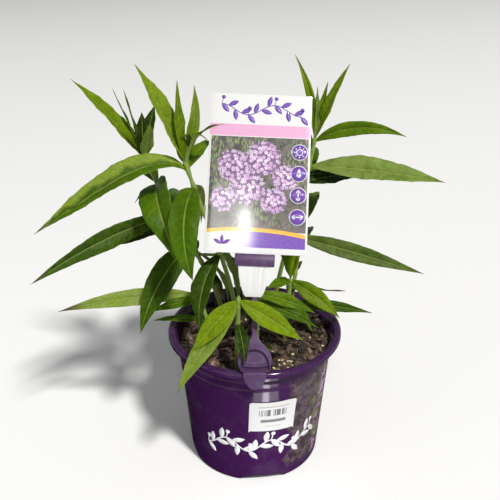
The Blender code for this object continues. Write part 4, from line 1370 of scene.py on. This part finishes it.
def flat_shape(middle, turn, length, width, rows=9, kind="leaf"):
    """A flat leaf or disc as a grid of (x, y): its half width is sin(pi s)^0.8, or a circle's."""
    sweep = (1 - np.cos(np.linspace(0, np.pi, rows))) / 2
    if kind == "leaf":
        half = np.sin(np.pi * sweep) ** 0.8 * width / 2 + 0.03
        along = sweep * length
    else:
        half = np.sqrt(1 - (2 * sweep - 1) ** 2) * width / 2 + 0.01
        along = (sweep - 0.5) * length
    p = np.linspace(-1, 1, 3)
    x = along[:, None] + 0 * p
    y = half[:, None] * p
    return np.stack([middle[0] + x * math.cos(turn) - y * math.sin(turn),
                     middle[1] + x * math.sin(turn) + y * math.cos(turn)], -1)


def flat_line(path, width):
    """A flat stroke along points (x, y), as a grid three points wide."""
    path = np.asarray(path, float)
    ahead = unit(np.gradient(path, axis=0))
    aside = np.stack([-ahead[:, 1], ahead[:, 0]], 1)
    p = np.linspace(-1, 1, 3)[:, None]
    return path[:, None] + aside[:, None] * p * np.broadcast_to(width, len(path))[:, None, None] / 2


def add_flat(piece, grid, place, low=0.0, high=0.08, slot=0):
    """A thin closed plate of a flat shape, laid on a surface by the function place(x, y, stand)."""
    x, y = grid[..., 0], grid[..., 1]
    piece.add(skins(place(x, y, high), place(x, y, low)), shell_quads(*x.shape), slot)


def vine(reach, swing, waves, leaf, width, berry):
    """A leafy vine: a sine wave from -reach to reach, with a leaf on each side of it in turn."""
    x = np.linspace(-reach, reach, 120)
    pace = 2 * np.pi * waves / (2 * reach)
    shapes = [flat_line(np.stack([x, swing * np.sin(pace * x)], 1), width)]
    for number, stop in enumerate(np.linspace(-reach, reach, int(waves * 8) + 1)):
        slope = math.atan(swing * pace * math.cos(pace * stop))
        foot = np.array([stop, swing * math.sin(pace * stop)])
        way = 1 if number % 2 else -1
        shapes.append(flat_shape(foot, slope + way * 0.85, leaf, leaf * 0.42))
        if number % 4 == 0:
            turn = slope - way * 1.35
            tip = foot + leaf * 0.62 * np.array([math.cos(turn), math.sin(turn)])
            shapes.append(flat_line([foot, (foot + tip) / 2, tip], width * 0.7))
            shapes.append(flat_shape(tip, turn, berry, berry, kind="disc"))
    return shapes


def on_wall(x, z, stand):
    """Points on the pot's wall: x along the curve from the front, z up, stand out from it."""
    angle = x / wall_radius(PRINT_HEIGHT) - np.pi / 2
    return turned(wall_radius(z) + stand, angle, z + 0 * angle)


def on_card(x, y, stand):
    """Points that stand out from the label's printed face."""
    return on_label(x, y, LABEL_THICKNESS / 2 + stand)


def print_finish(title, colour):
    """A flat printed ink with a slight mottle."""
    material, w, shader, place = finish(title, 0.4, coat_weight=0.2)
    mottle = w.step(w.noise(place, 700.0, 3.0), 0.5, 0.75)
    w.feed(shader["Base Color"], w.mix(mottle, colour, scaled(colour, 0.82)))
    return material


def make_prints(settings):
    """The white vine printed on the pot, and the label's sprig and discs."""
    white = print_finish("white ink", settings.white)
    violet = print_finish("violet ink", settings.violet)
    shape = Piece()
    for grid in vine(45.0, 5.4, 2.5, 11.0, 1.3, 3.6):
        add_flat(shape, grid + np.array([4.0, 38.0]), on_wall, 0.01, 0.07)
    settle(shape.build("pot_border", white, smooth=False), "pot_plastic")

    shape = Piece()
    for grid in vine(30.0, 4.0, 1.5, 8.6, 0.7, 3.0):
        add_flat(shape, grid + np.array([0.0, 109.5]), on_card, 0.005, 0.04, 1)
    for number, height in enumerate(DISC_HEIGHTS):
        middle = np.array([DISC_X, height])
        add_flat(shape, flat_shape(middle, 0, 12.6, 12.6, 17, "disc"), on_card, 0.005, 0.03)
        add_flat(shape, flat_shape(middle, 0, 11.2, 11.2, 17, "disc"), on_card, 0.01, 0.045, 1)
        for mark in disc_mark(number):
            add_flat(shape, mark + middle, on_card, 0.02, 0.06)
    for turn in (0.5, 1.57, 2.64):
        add_flat(shape, flat_shape((-25.0, 6.4), turn, 7.2, 2.6), on_card, 0.005, 0.04, 1)
    settle(shape.build("label_ornament", white, violet, smooth=False), "label_card")


def disc_mark(number):
    """The white mark in a disc: a sun, a drop, an upright arrow or a level arrow."""
    circle = np.linspace(0, 2 * np.pi, 25)
    if number == 0:
        rays = [flat_shape((3.1 * math.cos(a), 3.1 * math.sin(a)), a, 1.5, 0.9) for a in circle[:-1:3]]
        return rays + [flat_line(np.stack([2.3 * np.cos(circle), 2.3 * np.sin(circle)], 1), 0.7)]
    if number == 1:
        return [flat_shape((0.0, -2.3), 0, 3.6, 3.6, kind="disc") + np.array([0, 1.2]),
                flat_shape((0.0, -1.4), math.pi / 2, 5.2, 2.6)]
    turn = math.pi / 2 if number == 2 else 0.0
    ahead = np.array([math.cos(turn), math.sin(turn)])
    marks = [flat_line([-3.0 * ahead, 0 * ahead, 3.0 * ahead], 0.9)]
    for way in (1, -1):
        tip = 4.2 * way * ahead
        for lean in (0.6, -0.6):
            marks.append(flat_shape(tip, turn + lean + (math.pi if way > 0 else 0), 3.0, 1.0))
    return marks


def make_sticker(settings):
    """The sticker: a sheet of paper on the wall's curve, one corner a little lifted."""
    u, v = np.meshgrid(np.linspace(-0.5, 0.5, 41) * STICKER_WIDTH,
                       np.linspace(-0.5, 0.5, 25) * STICKER_HEIGHT)
    tilt = math.radians(STICKER_TILT)
    run = u * math.cos(tilt) - v * math.sin(tilt)
    height = STICKER_MIDDLE_Z + u * math.sin(tilt) + v * math.cos(tilt)
    angle = math.radians(STICKER_TURN - 90.0) + run / wall_radius(STICKER_MIDDLE_Z)
    curl = 0.7 * smooth_step(u + v, 24.0, 32.5) + 0.12 * bumps(u, v, 7.0, 21) + 0.15
    corner = np.clip(np.abs(u) + np.abs(v) - (STICKER_WIDTH + STICKER_HEIGHT) / 2 + 1.2, 0, 1.2)
    drawn_in = height * (1 - corner * 0.02)
    faces = [turned(wall_radius(height) + stand + curl, angle, drawn_in) for stand in (0.42, 0.24)]
    uv = sheet_uv(u, v, STICKER_UV_START, STICKER_UV_SPAN)
    shape = Piece()
    shape.add(skins(*faces), shell_quads(*u.shape), uv=np.vstack([uv, uv]))
    sheet = shape.build("sticker_sheet", sticker_finish(settings), sharp=40)
    settle(sheet, "sticker_paper", "pot_sticker")


def sticker_finish(settings):
    """White paper with upright bars of random width, and below and above them plain level bars."""
    material, w, shader, place = finish("sticker paper", 0.55)
    x, y, _ = w.sheet(STICKER_UV_START, STICKER_UV_SPAN)
    own = w.out("TexWhiteNoise", None, w.math("FLOOR", x * 1.9), noise_dimensions="1D")
    upright = w.math("GREATER_THAN", own, 0.45)
    ink = upright * (w.between(x, -12.5, 13.0) * w.between(y, 1.0, 7.0)) * 0.85
    for low, high, left, right, strength in STICKER_BARS:
        bar = w.between(y, low, high) * w.between(x, left, right)
        ink = w.math("MAXIMUM", ink, bar * strength)
    paper = w.mix(w.noise(place, 900.0, 3.0), settings.paper, scaled(settings.paper, 0.93))
    w.feed(shader["Base Color"], w.mix(ink, paper, (0.06, 0.06, 0.07)))
    relief(w, shader, w.noise(place, 1800.0), 0.15, 0.0002)
    return material


def stem_path(shoot, share):
    """Points on a shoot's stem: a cubic curve from its foot to its top, share running 0 to 1."""
    foot, low, high, top = (np.asarray(point, float) for point in shoot[:4])
    share = np.asarray(share, float)[..., None]
    rest = 1 - share
    return foot * rest**3 + 3 * low * share * rest**2 + 3 * high * share**2 * rest + top * share**3


def stem_point(shoot, height):
    """The point on the stem's axis at a height."""
    path = stem_path(shoot, np.linspace(0, 1, 201))
    return np.array([np.interp(height, path[:, 2], path[:, axis]) for axis in range(3)])


def leaf_spine(base, leaf, stations):
    """The midrib: an arc from base to tip, bent over by leaf.bend and sideways by leaf.bow."""
    chord = np.asarray(leaf.tip, float) - base
    length = np.linalg.norm(chord)
    heading = math.atan2(chord[1], chord[0])
    climb = math.atan2(chord[2], math.hypot(chord[0], chord[1]))
    ahead = chord / length
    over = np.array([-math.sin(climb) * math.cos(heading), -math.sin(climb) * math.sin(heading),
                     math.cos(climb)])
    side = np.array([-math.sin(heading), math.cos(heading), 0.0])
    fine = SPINE_STEPS * (stations - 1)
    middle = (np.arange(fine) + 0.5) / fine
    turn = (1 - middle) ** leaf.early - 1 / (1 + leaf.early)
    pitch = math.radians(leaf.bend) * turn
    yaw = math.radians(leaf.bow) * turn
    step = ((np.cos(pitch) * np.cos(yaw))[:, None] * ahead + np.sin(pitch)[:, None] * over
            + (np.cos(pitch) * np.sin(yaw))[:, None] * side)
    run = np.vstack([np.zeros(3), np.cumsum(step, 0)])
    run *= length / np.dot(run[-1], ahead)
    run += np.linspace(0, 1, fine + 1)[:, None] * (chord - run[-1])
    return (base + run)[::SPINE_STEPS], side


def leaf_frame(base, leaf, stations):
    """The midrib's points, and at each the ways across the blade and out of its upper side."""
    spine, side = leaf_spine(base, leaf, stations)
    ahead = unit(np.gradient(spine, axis=0))
    across = unit(side - (ahead @ side)[:, None] * ahead)
    normal = np.cross(ahead, across)
    roll = math.radians(leaf.roll)
    return (spine, across * math.cos(roll) - normal * math.sin(roll),
            normal * math.cos(roll) + across * math.sin(roll))


def leaf_half(leaf, s, t, mm, phase):
    """Half width: the solids' sin(pi s^0.8)^1.1, a little uneven, and no narrower than the stalk."""
    half = np.sin(np.pi * s**0.8) ** 1.1 * leaf.width / 2
    uneven = 0.014 * np.sin(mm / 2.9 + phase[0] + t) + 0.010 * np.sin(mm / 1.27 + phase[1] - 2 * t)
    least = np.interp(s, [0, 0.5, 0.93, 1], [PETIOLE_HALF_WIDTH, 0.8, 0.7, 0.12])
    return np.maximum(half * (1 + uneven), least)


def leaf_crease(leaf, s, mm, off, seed):
    """A crumpled fold beside the midrib: how deep it is at each point, and how far beyond it lies."""
    wander = np.sin(mm / 4.3 + 1) + 0.6 * np.sin(mm / 1.9) - 2.8 * np.sin(np.pi * s)
    crease = leaf.crease * np.exp(-((off - wander) / CREASE_WIDTH) ** 2)
    crease = crease * smooth_step(s, 0.12, 0.25) * (1 - smooth_step(s, 0.84, 0.95))
    crease = crease * (0.65 + 0.35 * bumps(mm, 0 * mm, 5.0, seed + 2))
    return crease, leaf.crease * smooth_step(off - wander, -0.5, 0.5)


def add_leaf(piece, settings, number, base, leaf, seed):
    """One blade as a closed shell over (s, t): s from base to tip, t from edge to edge.

    It lies on the solids' folded blade, each half folded up from the midrib. The fold is softened,
    each half is a little arched, the midrib is a groove above and a ridge below, the blade rises
    between side veins that slant forward, smooth noise swells it, and its edges ripple. A creased
    leaf has a deeper fold beside the midrib, and the half beyond that fold is painted in shade: a
    darker green tone, and little of the painted sheen.
    """
    long_way = np.linalg.norm(np.asarray(leaf.tip, float) - base)
    stations = int(np.clip(long_way / settings.step, 16, 84))
    spine, across, normal = leaf_frame(base, leaf, stations)
    phase = np.random.default_rng(seed).uniform(0, 2 * np.pi, 6)
    p = np.linspace(-1, 1, settings.strips + 1)
    t = (np.sign(p) * np.abs(p) ** 1.25)[None, :]
    s = np.linspace(0, 1, stations)[:, None]
    mm = s * long_way
    narrow = min(1.0, leaf.width / WIDE_LEAF)
    half = leaf_half(leaf, s, t, mm, phase)
    size = np.abs(t)
    off = half * t
    distance = size * half
    open_blade = np.sin(np.pi * s) ** 0.5

    fold = math.radians(leaf.fold)
    vee = (np.sqrt(size**2 + SOFT_FOLD**2) - SOFT_FOLD) / (math.sqrt(1 + SOFT_FOLD**2) - SOFT_FOLD)
    wave = BLADE_WAVE * np.sin(np.pi * s) * np.sin(s * 15.0 + number * 2.4)
    arch = BLADE_ARCH * half * np.sin(np.pi * size) * open_blade
    vein = mm / settings.vein_step - size * VEIN_SLANT * narrow
    off_rib = smooth_step(size, 0.0, 0.3) * smooth_step(1 - size, 0.0, 0.25)
    quilt = settings.quilt * narrow * np.abs(np.sin(np.pi * vein)) ** 0.7 * off_rib * open_blade
    ripple = EDGE_RIPPLE * leaf.ruffle * narrow * size**2.6 * open_blade * (
        np.sin(mm / (1.9 * leaf.ruffle) + phase[2] + np.sign(t) * phase[3])
        + 0.6 * np.sin(mm / 0.9 + phase[4] * np.sign(t)))
    swell = SWELL * narrow * leaf.ruffle * bumps(mm + 0 * t, off, 6.5, seed) * open_blade * (1 - size**4)
    blister = BLISTER * narrow * bumps(mm + 0 * t, off, 2.6, seed + 1) * open_blade
    crease, beyond = leaf_crease(leaf, s, mm, off, seed)
    lift = half * math.sin(fold) * vee + wave * t + arch + quilt + ripple + (swell + blister)
    lift = lift - CREASE_DEPTH * crease
    thick = (BLADE_EDGE + BLADE_MIDDLE * np.sqrt(np.clip(1 - size**3, 0, 1))) * (1 - 0.55 * s)
    groove = 0.26 * np.exp(-(distance / 0.5) ** 2) * (1 - s) ** 0.3
    rib = 0.62 * np.exp(-(distance / 0.62) ** 2) * (1 - s) ** 0.8
    middle = spine[:, None] + across[:, None] * (half * math.cos(fold) * t)[..., None]
    upper = middle + normal[:, None] * (lift + thick / 2 - groove)[..., None]
    lower = middle + normal[:, None] * (lift - thick / 2 - groove * 0.6 - rib)[..., None]

    shape = upper.shape[:2]
    # The half beyond the crease is painted in shade: a lower tone, and almost none of the painted sheen.
    values = {"across": t, "vein": vein, "along": s, "crease": crease,
              "tone": leaf.tone - 0.40 * beyond, "bloom": leaf.bloom * (1 - 0.9 * beyond)}
    layers = {title: np.tile(np.broadcast_to(value, shape).ravel(), 2) for title, value in values.items()}
    ragged = layers["along"] + 0.05 * np.sin(9 * layers["across"] + phase[5])
    dry = smooth_step(ragged, 1 - leaf.dry - 0.03, 1 - leaf.dry * 0.5 + 0.02) if leaf.dry else 0.0
    under = np.repeat([0.0, 1.0], shape[0] * shape[1])
    uv = np.stack([layers["across"] * 0.5 + 0.5, layers["along"]], -1)
    piece.add(skins(upper, lower), shell_quads(*shape), uv=uv, under=under, dry=dry, **layers)


def add_stem(piece, shoot):
    """The stem: a round tube that thins upwards and swells at each joint."""
    share = np.linspace(0, 1, 90)
    path = stem_path(shoot, share)
    radius = STEM_RADIUS_FOOT + (STEM_RADIUS_TOP - STEM_RADIUS_FOOT) * share
    for joint in {leaf.joint for leaf in shoot.leaves}:
        radius = radius + JOINT_SWELL * np.exp(-((path[:, 2] - joint) / JOINT_REACH) ** 2)
    radius = radius * np.interp(share, [0.0, 0.97, 1.0], [1.0, 1.0, 0.25])
    sides = 16
    along = np.append(np.repeat(share, sides), [0.0, 1.0])
    piece.add(tube(path, radius, sides), barrel_quads(len(share), sides), 1,
              uv=np.stack([along, along], -1), across=0.5, vein=0.0, along=along, under=0.0,
              tone=0.6, dry=0.0, bloom=0.0, crease=0.0)


def leaf_finish(settings):
    """Leaf: tone runs dark, green, young, and paints light and shade as well; side veins and midrib paler,
    the underside pale and matt.
    """
    material, w, shader, place = finish(
        "phlox leaf", 0.42, subsurface_weight=0.12, subsurface_scale=0.001,
        subsurface_radius=(0.6, 1.0, 0.03), specular_ior_level=0.10)
    across = abs(w.attribute("across"))
    under = w.attribute("under")
    tone = w.attribute("tone")
    cloud = w.noise(place, 48.0, 3.0, 0.6)
    fine = w.noise(place, 900.0, 3.0, 0.6)
    blister = w.noise(place, 230.0)
    ramp = w.add("ValToRGB", tone + (cloud - 0.5) * 0.42 + (fine - 0.5) * 0.18 + (blister - 0.5) * 0.42)
    stops = ramp.color_ramp.elements
    stops[0].position = 0.05
    stops[0].color = (*settings.dark, 1)
    stops[1].position = 0.98
    stops[1].color = (*settings.young, 1)
    stops.new(0.52).color = (*settings.green, 1)

    side = abs(w.math("FRACT", w.attribute("vein")) - 0.5)
    side_vein = w.step(side, 0.40, 0.5) * w.step(across, 0.95, 0.6)
    patchy = w.step(w.noise(place, 105.0, 3.0, 0.65), 0.30, 0.62)
    # A pale painted sheen in patches, on the blades that have a share of it.
    shine = w.attribute("bloom") * w.span(patchy, 0.0, 1.0, 0.45, 1.0)
    colour = w.mix(shine, Wire(w, ramp.outputs[0]), settings.shine)
    colour = w.mix(side_vein * 0.12, colour, w.mix(0.5, colour, (0.30, 0.40, 0.06)))
    line = abs(w.noise(place, 210.0, 3.0, 0.6) - 0.5)
    net = w.step(line, 0.035, 0.0) * w.step(tone, 0.35, 0.85)
    colour = w.mix(net * 0.45, colour, settings.green)
    rib = w.step(across, w.span(w.attribute("along"), 0.0, 1.0, 0.055, 0.13), 0.0)
    colour = w.mix(rib * 0.55, colour, (0.30, 0.38, 0.08))
    colour = w.mix(w.step(across, 0.955, 1.0) * 0.4, colour, (0.24, 0.31, 0.05))
    pale = w.mix(side_vein * 0.5, w.mix(0.3, settings.pale, colour), (0.34, 0.42, 0.15))
    colour = w.mix(under * 0.85, colour, pale)
    speck = w.step(w.noise(place, 330.0), 0.70, 0.76) * 0.5
    colour = w.mix(speck, colour, (0.20, 0.17, 0.06))
    # Painted shade, near black, along the crumpled crease.
    colour = w.mix(w.attribute("crease"), colour, (0.020, 0.022, 0.006))
    dry = w.mix(fine, (0.07, 0.045, 0.02), (0.13, 0.09, 0.045))
    w.feed(shader["Base Color"], w.mix(w.attribute("dry"), colour, dry))
    w.feed(shader["Roughness"], w.span(under, 0.0, 1.0, 0.34, 0.62) + fine * 0.12)
    furrow = w.step(side, 0.30, 0.5) * -0.35
    relief(w, shader, fine * 0.4 + (furrow + blister * 1.4), 0.75, 0.0006)
    return material


def stem_finish():
    """Stem: pale green, reddish low down."""
    material, w, shader, place = finish("phlox stem", 0.45, subsurface_weight=0.1, subsurface_scale=0.001)
    green = w.mix(w.noise(place, 120.0, 3.0), (0.16, 0.26, 0.035), (0.24, 0.34, 0.06))
    low = w.step(w.attribute("along"), 0.35, 0.0)
    w.feed(shader["Base Color"], w.mix(low * 0.7, green, (0.10, 0.05, 0.03)))
    relief(w, shader, w.noise(w.mapped(place, Scale=(1, 1, 0.06)), 1500.0), 0.3, 0.0004)
    return material


def make_shoots(settings):
    """A fine piece for each shoot, on the paths of the solids."""
    leaf_material = leaf_finish(settings)
    stem_material = stem_finish()
    for order, (name, shoot) in enumerate(SHOOTS.items()):
        piece = Piece()
        add_stem(piece, shoot)
        for number, leaf in enumerate(shoot.leaves):
            add_leaf(piece, settings, number, stem_point(shoot, leaf.joint), leaf, 100 * order + number)
        settle(piece.build(name + "_fine", leaf_material, stem_material), "phlox_leaf", name)


def area_lamp(name, place, aim, width, height, power, colour=(1, 1, 1)):
    """A flat lamp that looks at a point."""
    lamp = bpy.data.lights.new(name, "AREA")
    lamp.shape = "RECTANGLE"
    lamp.size = width
    lamp.size_y = height
    lamp.energy = power
    lamp.color = colour
    x, y, z = np.array(aim) - np.array(place)
    new_object(name, lamp, place, (math.atan2(math.hypot(x, y), -z), 0, math.atan2(-x, y)))


def glare_lamp(eye, spot, normal, reach, name, width, height, power):
    """A lamp that the camera sees mirrored at a spot: it stands along the sight line's mirror image."""
    sight = unit(spot - np.array(eye) / MM)
    away = sight - 2 * (sight @ normal) * normal
    area_lamp(name, (spot + reach * away) * MM, spot * MM, width, height, power)


def slab(name, material, across, along, top, thickness):
    """A flat rectangular slab between two x and two y."""
    x, y = np.meshgrid(across, along, indexing="ij")
    upper = np.stack([x, y, 0 * x + top], -1)
    shape = Piece()
    shape.add(skins(upper, upper - [0, 0, thickness]), shell_quads(2, 2))
    return shape.build(name, material, smooth=False)


def make_floor():
    """A wide pale floor."""
    material, w, shader, place = finish("floor", 0.9, specular_ior_level=0.0)
    w.feed(shader["Base Color"], w.mix(w.noise(place, 3.0), (0.92, 0.92, 0.92), (0.94, 0.94, 0.94)))
    edges = (-FLOOR_REACH, FLOOR_REACH)
    slab("floor", material, edges, edges, 0.0, 20.0)


def dark_card():
    """A dark card on the floor that only reflections see: it keeps the floor out of the pot's gloss."""
    material, w, shader, place = finish("dark card", 0.95, specular_ior_level=0.0)
    right = w.step(w.axes(place)[0], 0.01, 0.12)
    w.feed(shader["Base Color"], w.mix(right, (0.01, 0.01, 0.01), (0.22, 0.22, 0.22)))
    card = slab("dark_card", material, (-400.0, 400.0), (-320.0, 500.0), 0.6, 0.3)
    card.visible_camera = False
    card.visible_diffuse = False
    card.visible_shadow = False


def make_surroundings(settings):
    """Pale surroundings, brighter where the camera sees them than as a light."""
    world = bpy.data.worlds.new("pale surroundings")
    world.use_nodes = True
    background = world.node_tree.nodes["Background"].inputs
    background["Color"].default_value = (0.97, 0.98, 1.0, 1)
    w = Wiring(world.node_tree)
    seen = w.out("LightPath", socket="Is Camera Ray")
    w.feed(background["Strength"], w.span(seen, 0.0, 1.0, settings.sky, settings.backdrop))
    bpy.context.scene.world = world
    bpy.context.scene.view_settings.view_transform = "Standard"


def make_lamps(settings):
    """A key light, a fill, and the lamps that lay glare on the label and on the pot's wall."""
    key = bpy.data.lights.new("key", "SUN")
    key.energy = settings.key
    key.angle = settings.spread
    key.color = (1.0, 0.985, 0.95)
    new_object("key", key, turn=(math.pi / 2 - settings.height, 0, settings.side))
    area_lamp("fill", (-1.3, -0.9, 0.9), (0, 0, 0.14), 1.2, 1.2, settings.fill, (0.94, 0.97, 1.0))
    for (x, y), *lamp in LABEL_GLARE:
        spot = on_label(np.array(x), np.array(y), LABEL_THICKNESS / 2)
        glare_lamp(settings.place, spot, lean_axes(HEAD_TURN)[2], LABEL_LAMP_REACH, *lamp)
    for (x, z), *lamp in WALL_GLARE:
        spot = on_wall(np.array(x), np.array(z), 0.0)
        normal = unit(spot * [1, 1, 0] / np.hypot(spot[0], spot[1]) - [0, 0, WALL_TAPER])
        glare_lamp(settings.place, spot, normal, WALL_LAMP_REACH, *lamp)


def make_camera(settings):
    """The photograph's camera."""
    camera = bpy.data.cameras.new("camera")
    camera.lens = settings.lens
    camera.sensor_width = 36.0
    camera.clip_start = 0.01
    bpy.context.scene.camera = new_object("camera", camera, settings.place, (settings.tilt, 0, 0))


class PHLOX_OT_stage(bpy.types.Operator):
    """Set up the floor, lamps and camera"""

    bl_idname = "phlox.stage"
    bl_label = "Stage"

    def execute(self, context):
        settings = context.scene.phlox_stage
        make_floor()
        make_surroundings(settings)
        make_lamps(settings)
        dark_card()
        make_camera(settings)
        return {"FINISHED"}


class PHLOX_OT_pot(bpy.types.Operator):
    """Make the pot"""

    bl_idname = "phlox.pot"
    bl_label = "Pot"

    def execute(self, context):
        make_pot(context.scene.phlox_pot)
        return {"FINISHED"}


class PHLOX_OT_soil(bpy.types.Operator):
    """Make the potting mix and what lies in it"""

    bl_idname = "phlox.soil"
    bl_label = "Soil"

    def execute(self, context):
        make_soil(context.scene.phlox_soil)
        make_bits(context.scene.phlox_soil)
        return {"FINISHED"}


class PHLOX_OT_clip(bpy.types.Operator):
    """Make the label's clip"""

    bl_idname = "phlox.clip"
    bl_label = "Clip"

    def execute(self, context):
        make_clip(context.scene.phlox_card)
        return {"FINISHED"}


class PHLOX_OT_label(bpy.types.Operator):
    """Make the label, its print and the pot's white border"""

    bl_idname = "phlox.label"
    bl_label = "Label and prints"

    def execute(self, context):
        make_label(context.scene.phlox_card)
        make_prints(context.scene.phlox_card)
        return {"FINISHED"}


class PHLOX_OT_sticker(bpy.types.Operator):
    """Make the sticker"""

    bl_idname = "phlox.sticker"
    bl_label = "Sticker"

    def execute(self, context):
        make_sticker(context.scene.phlox_card)
        return {"FINISHED"}


class PHLOX_OT_shoots(bpy.types.Operator):
    """Make the leafy shoots"""

    bl_idname = "phlox.shoots"
    bl_label = "Leafy shoots"

    def execute(self, context):
        make_shoots(context.scene.phlox_leaf)
        return {"FINISHED"}


class PHLOX_PT_panel(bpy.types.Panel):
    """The sidebar's list of pieces and settings"""

    bl_label = "Potted phlox"
    bl_idname = "PHLOX_PT_panel"
    bl_space_type = "VIEW_3D"
    bl_region_type = "UI"
    bl_category = "Phlox"

    def draw(self, context):
        for operator in OPERATORS:
            self.layout.operator(operator.bl_idname)
        for title, group in SETTINGS.items():
            box = self.layout.box()
            for field in group.__annotations__:
                box.prop(getattr(context.scene, title), field)


OPERATORS = (PHLOX_OT_stage, PHLOX_OT_pot, PHLOX_OT_soil, PHLOX_OT_clip, PHLOX_OT_label, PHLOX_OT_sticker,
             PHLOX_OT_shoots)
SETTINGS = {
    "phlox_pot": PotSettings,
    "phlox_soil": SoilSettings,
    "phlox_leaf": LeafSettings,
    "phlox_card": CardSettings,
    "phlox_stage": StageSettings,
}


def register():
    """Adds the settings, the operators and the panel."""
    for group in (*SETTINGS.values(), *OPERATORS, PHLOX_PT_panel):
        bpy.utils.register_class(group)
    for title, group in SETTINGS.items():
        setattr(bpy.types.Scene, title, PointerProperty(type=group))


def unregister():
    """Takes the settings, the operators and the panel away again."""
    for title in SETTINGS:
        delattr(bpy.types.Scene, title)
    for group in (PHLOX_PT_panel, *OPERATORS, *SETTINGS.values()):
        bpy.utils.unregister_class(group)


def main():
    """Makes the whole picture."""
    register()
    bpy.ops.phlox.stage()
    bpy.ops.phlox.pot()
    bpy.ops.phlox.soil()
    bpy.ops.phlox.clip()
    bpy.ops.phlox.label()
    bpy.ops.phlox.sticker()
    bpy.ops.phlox.shoots()


if __name__ == "__main__":
    main()
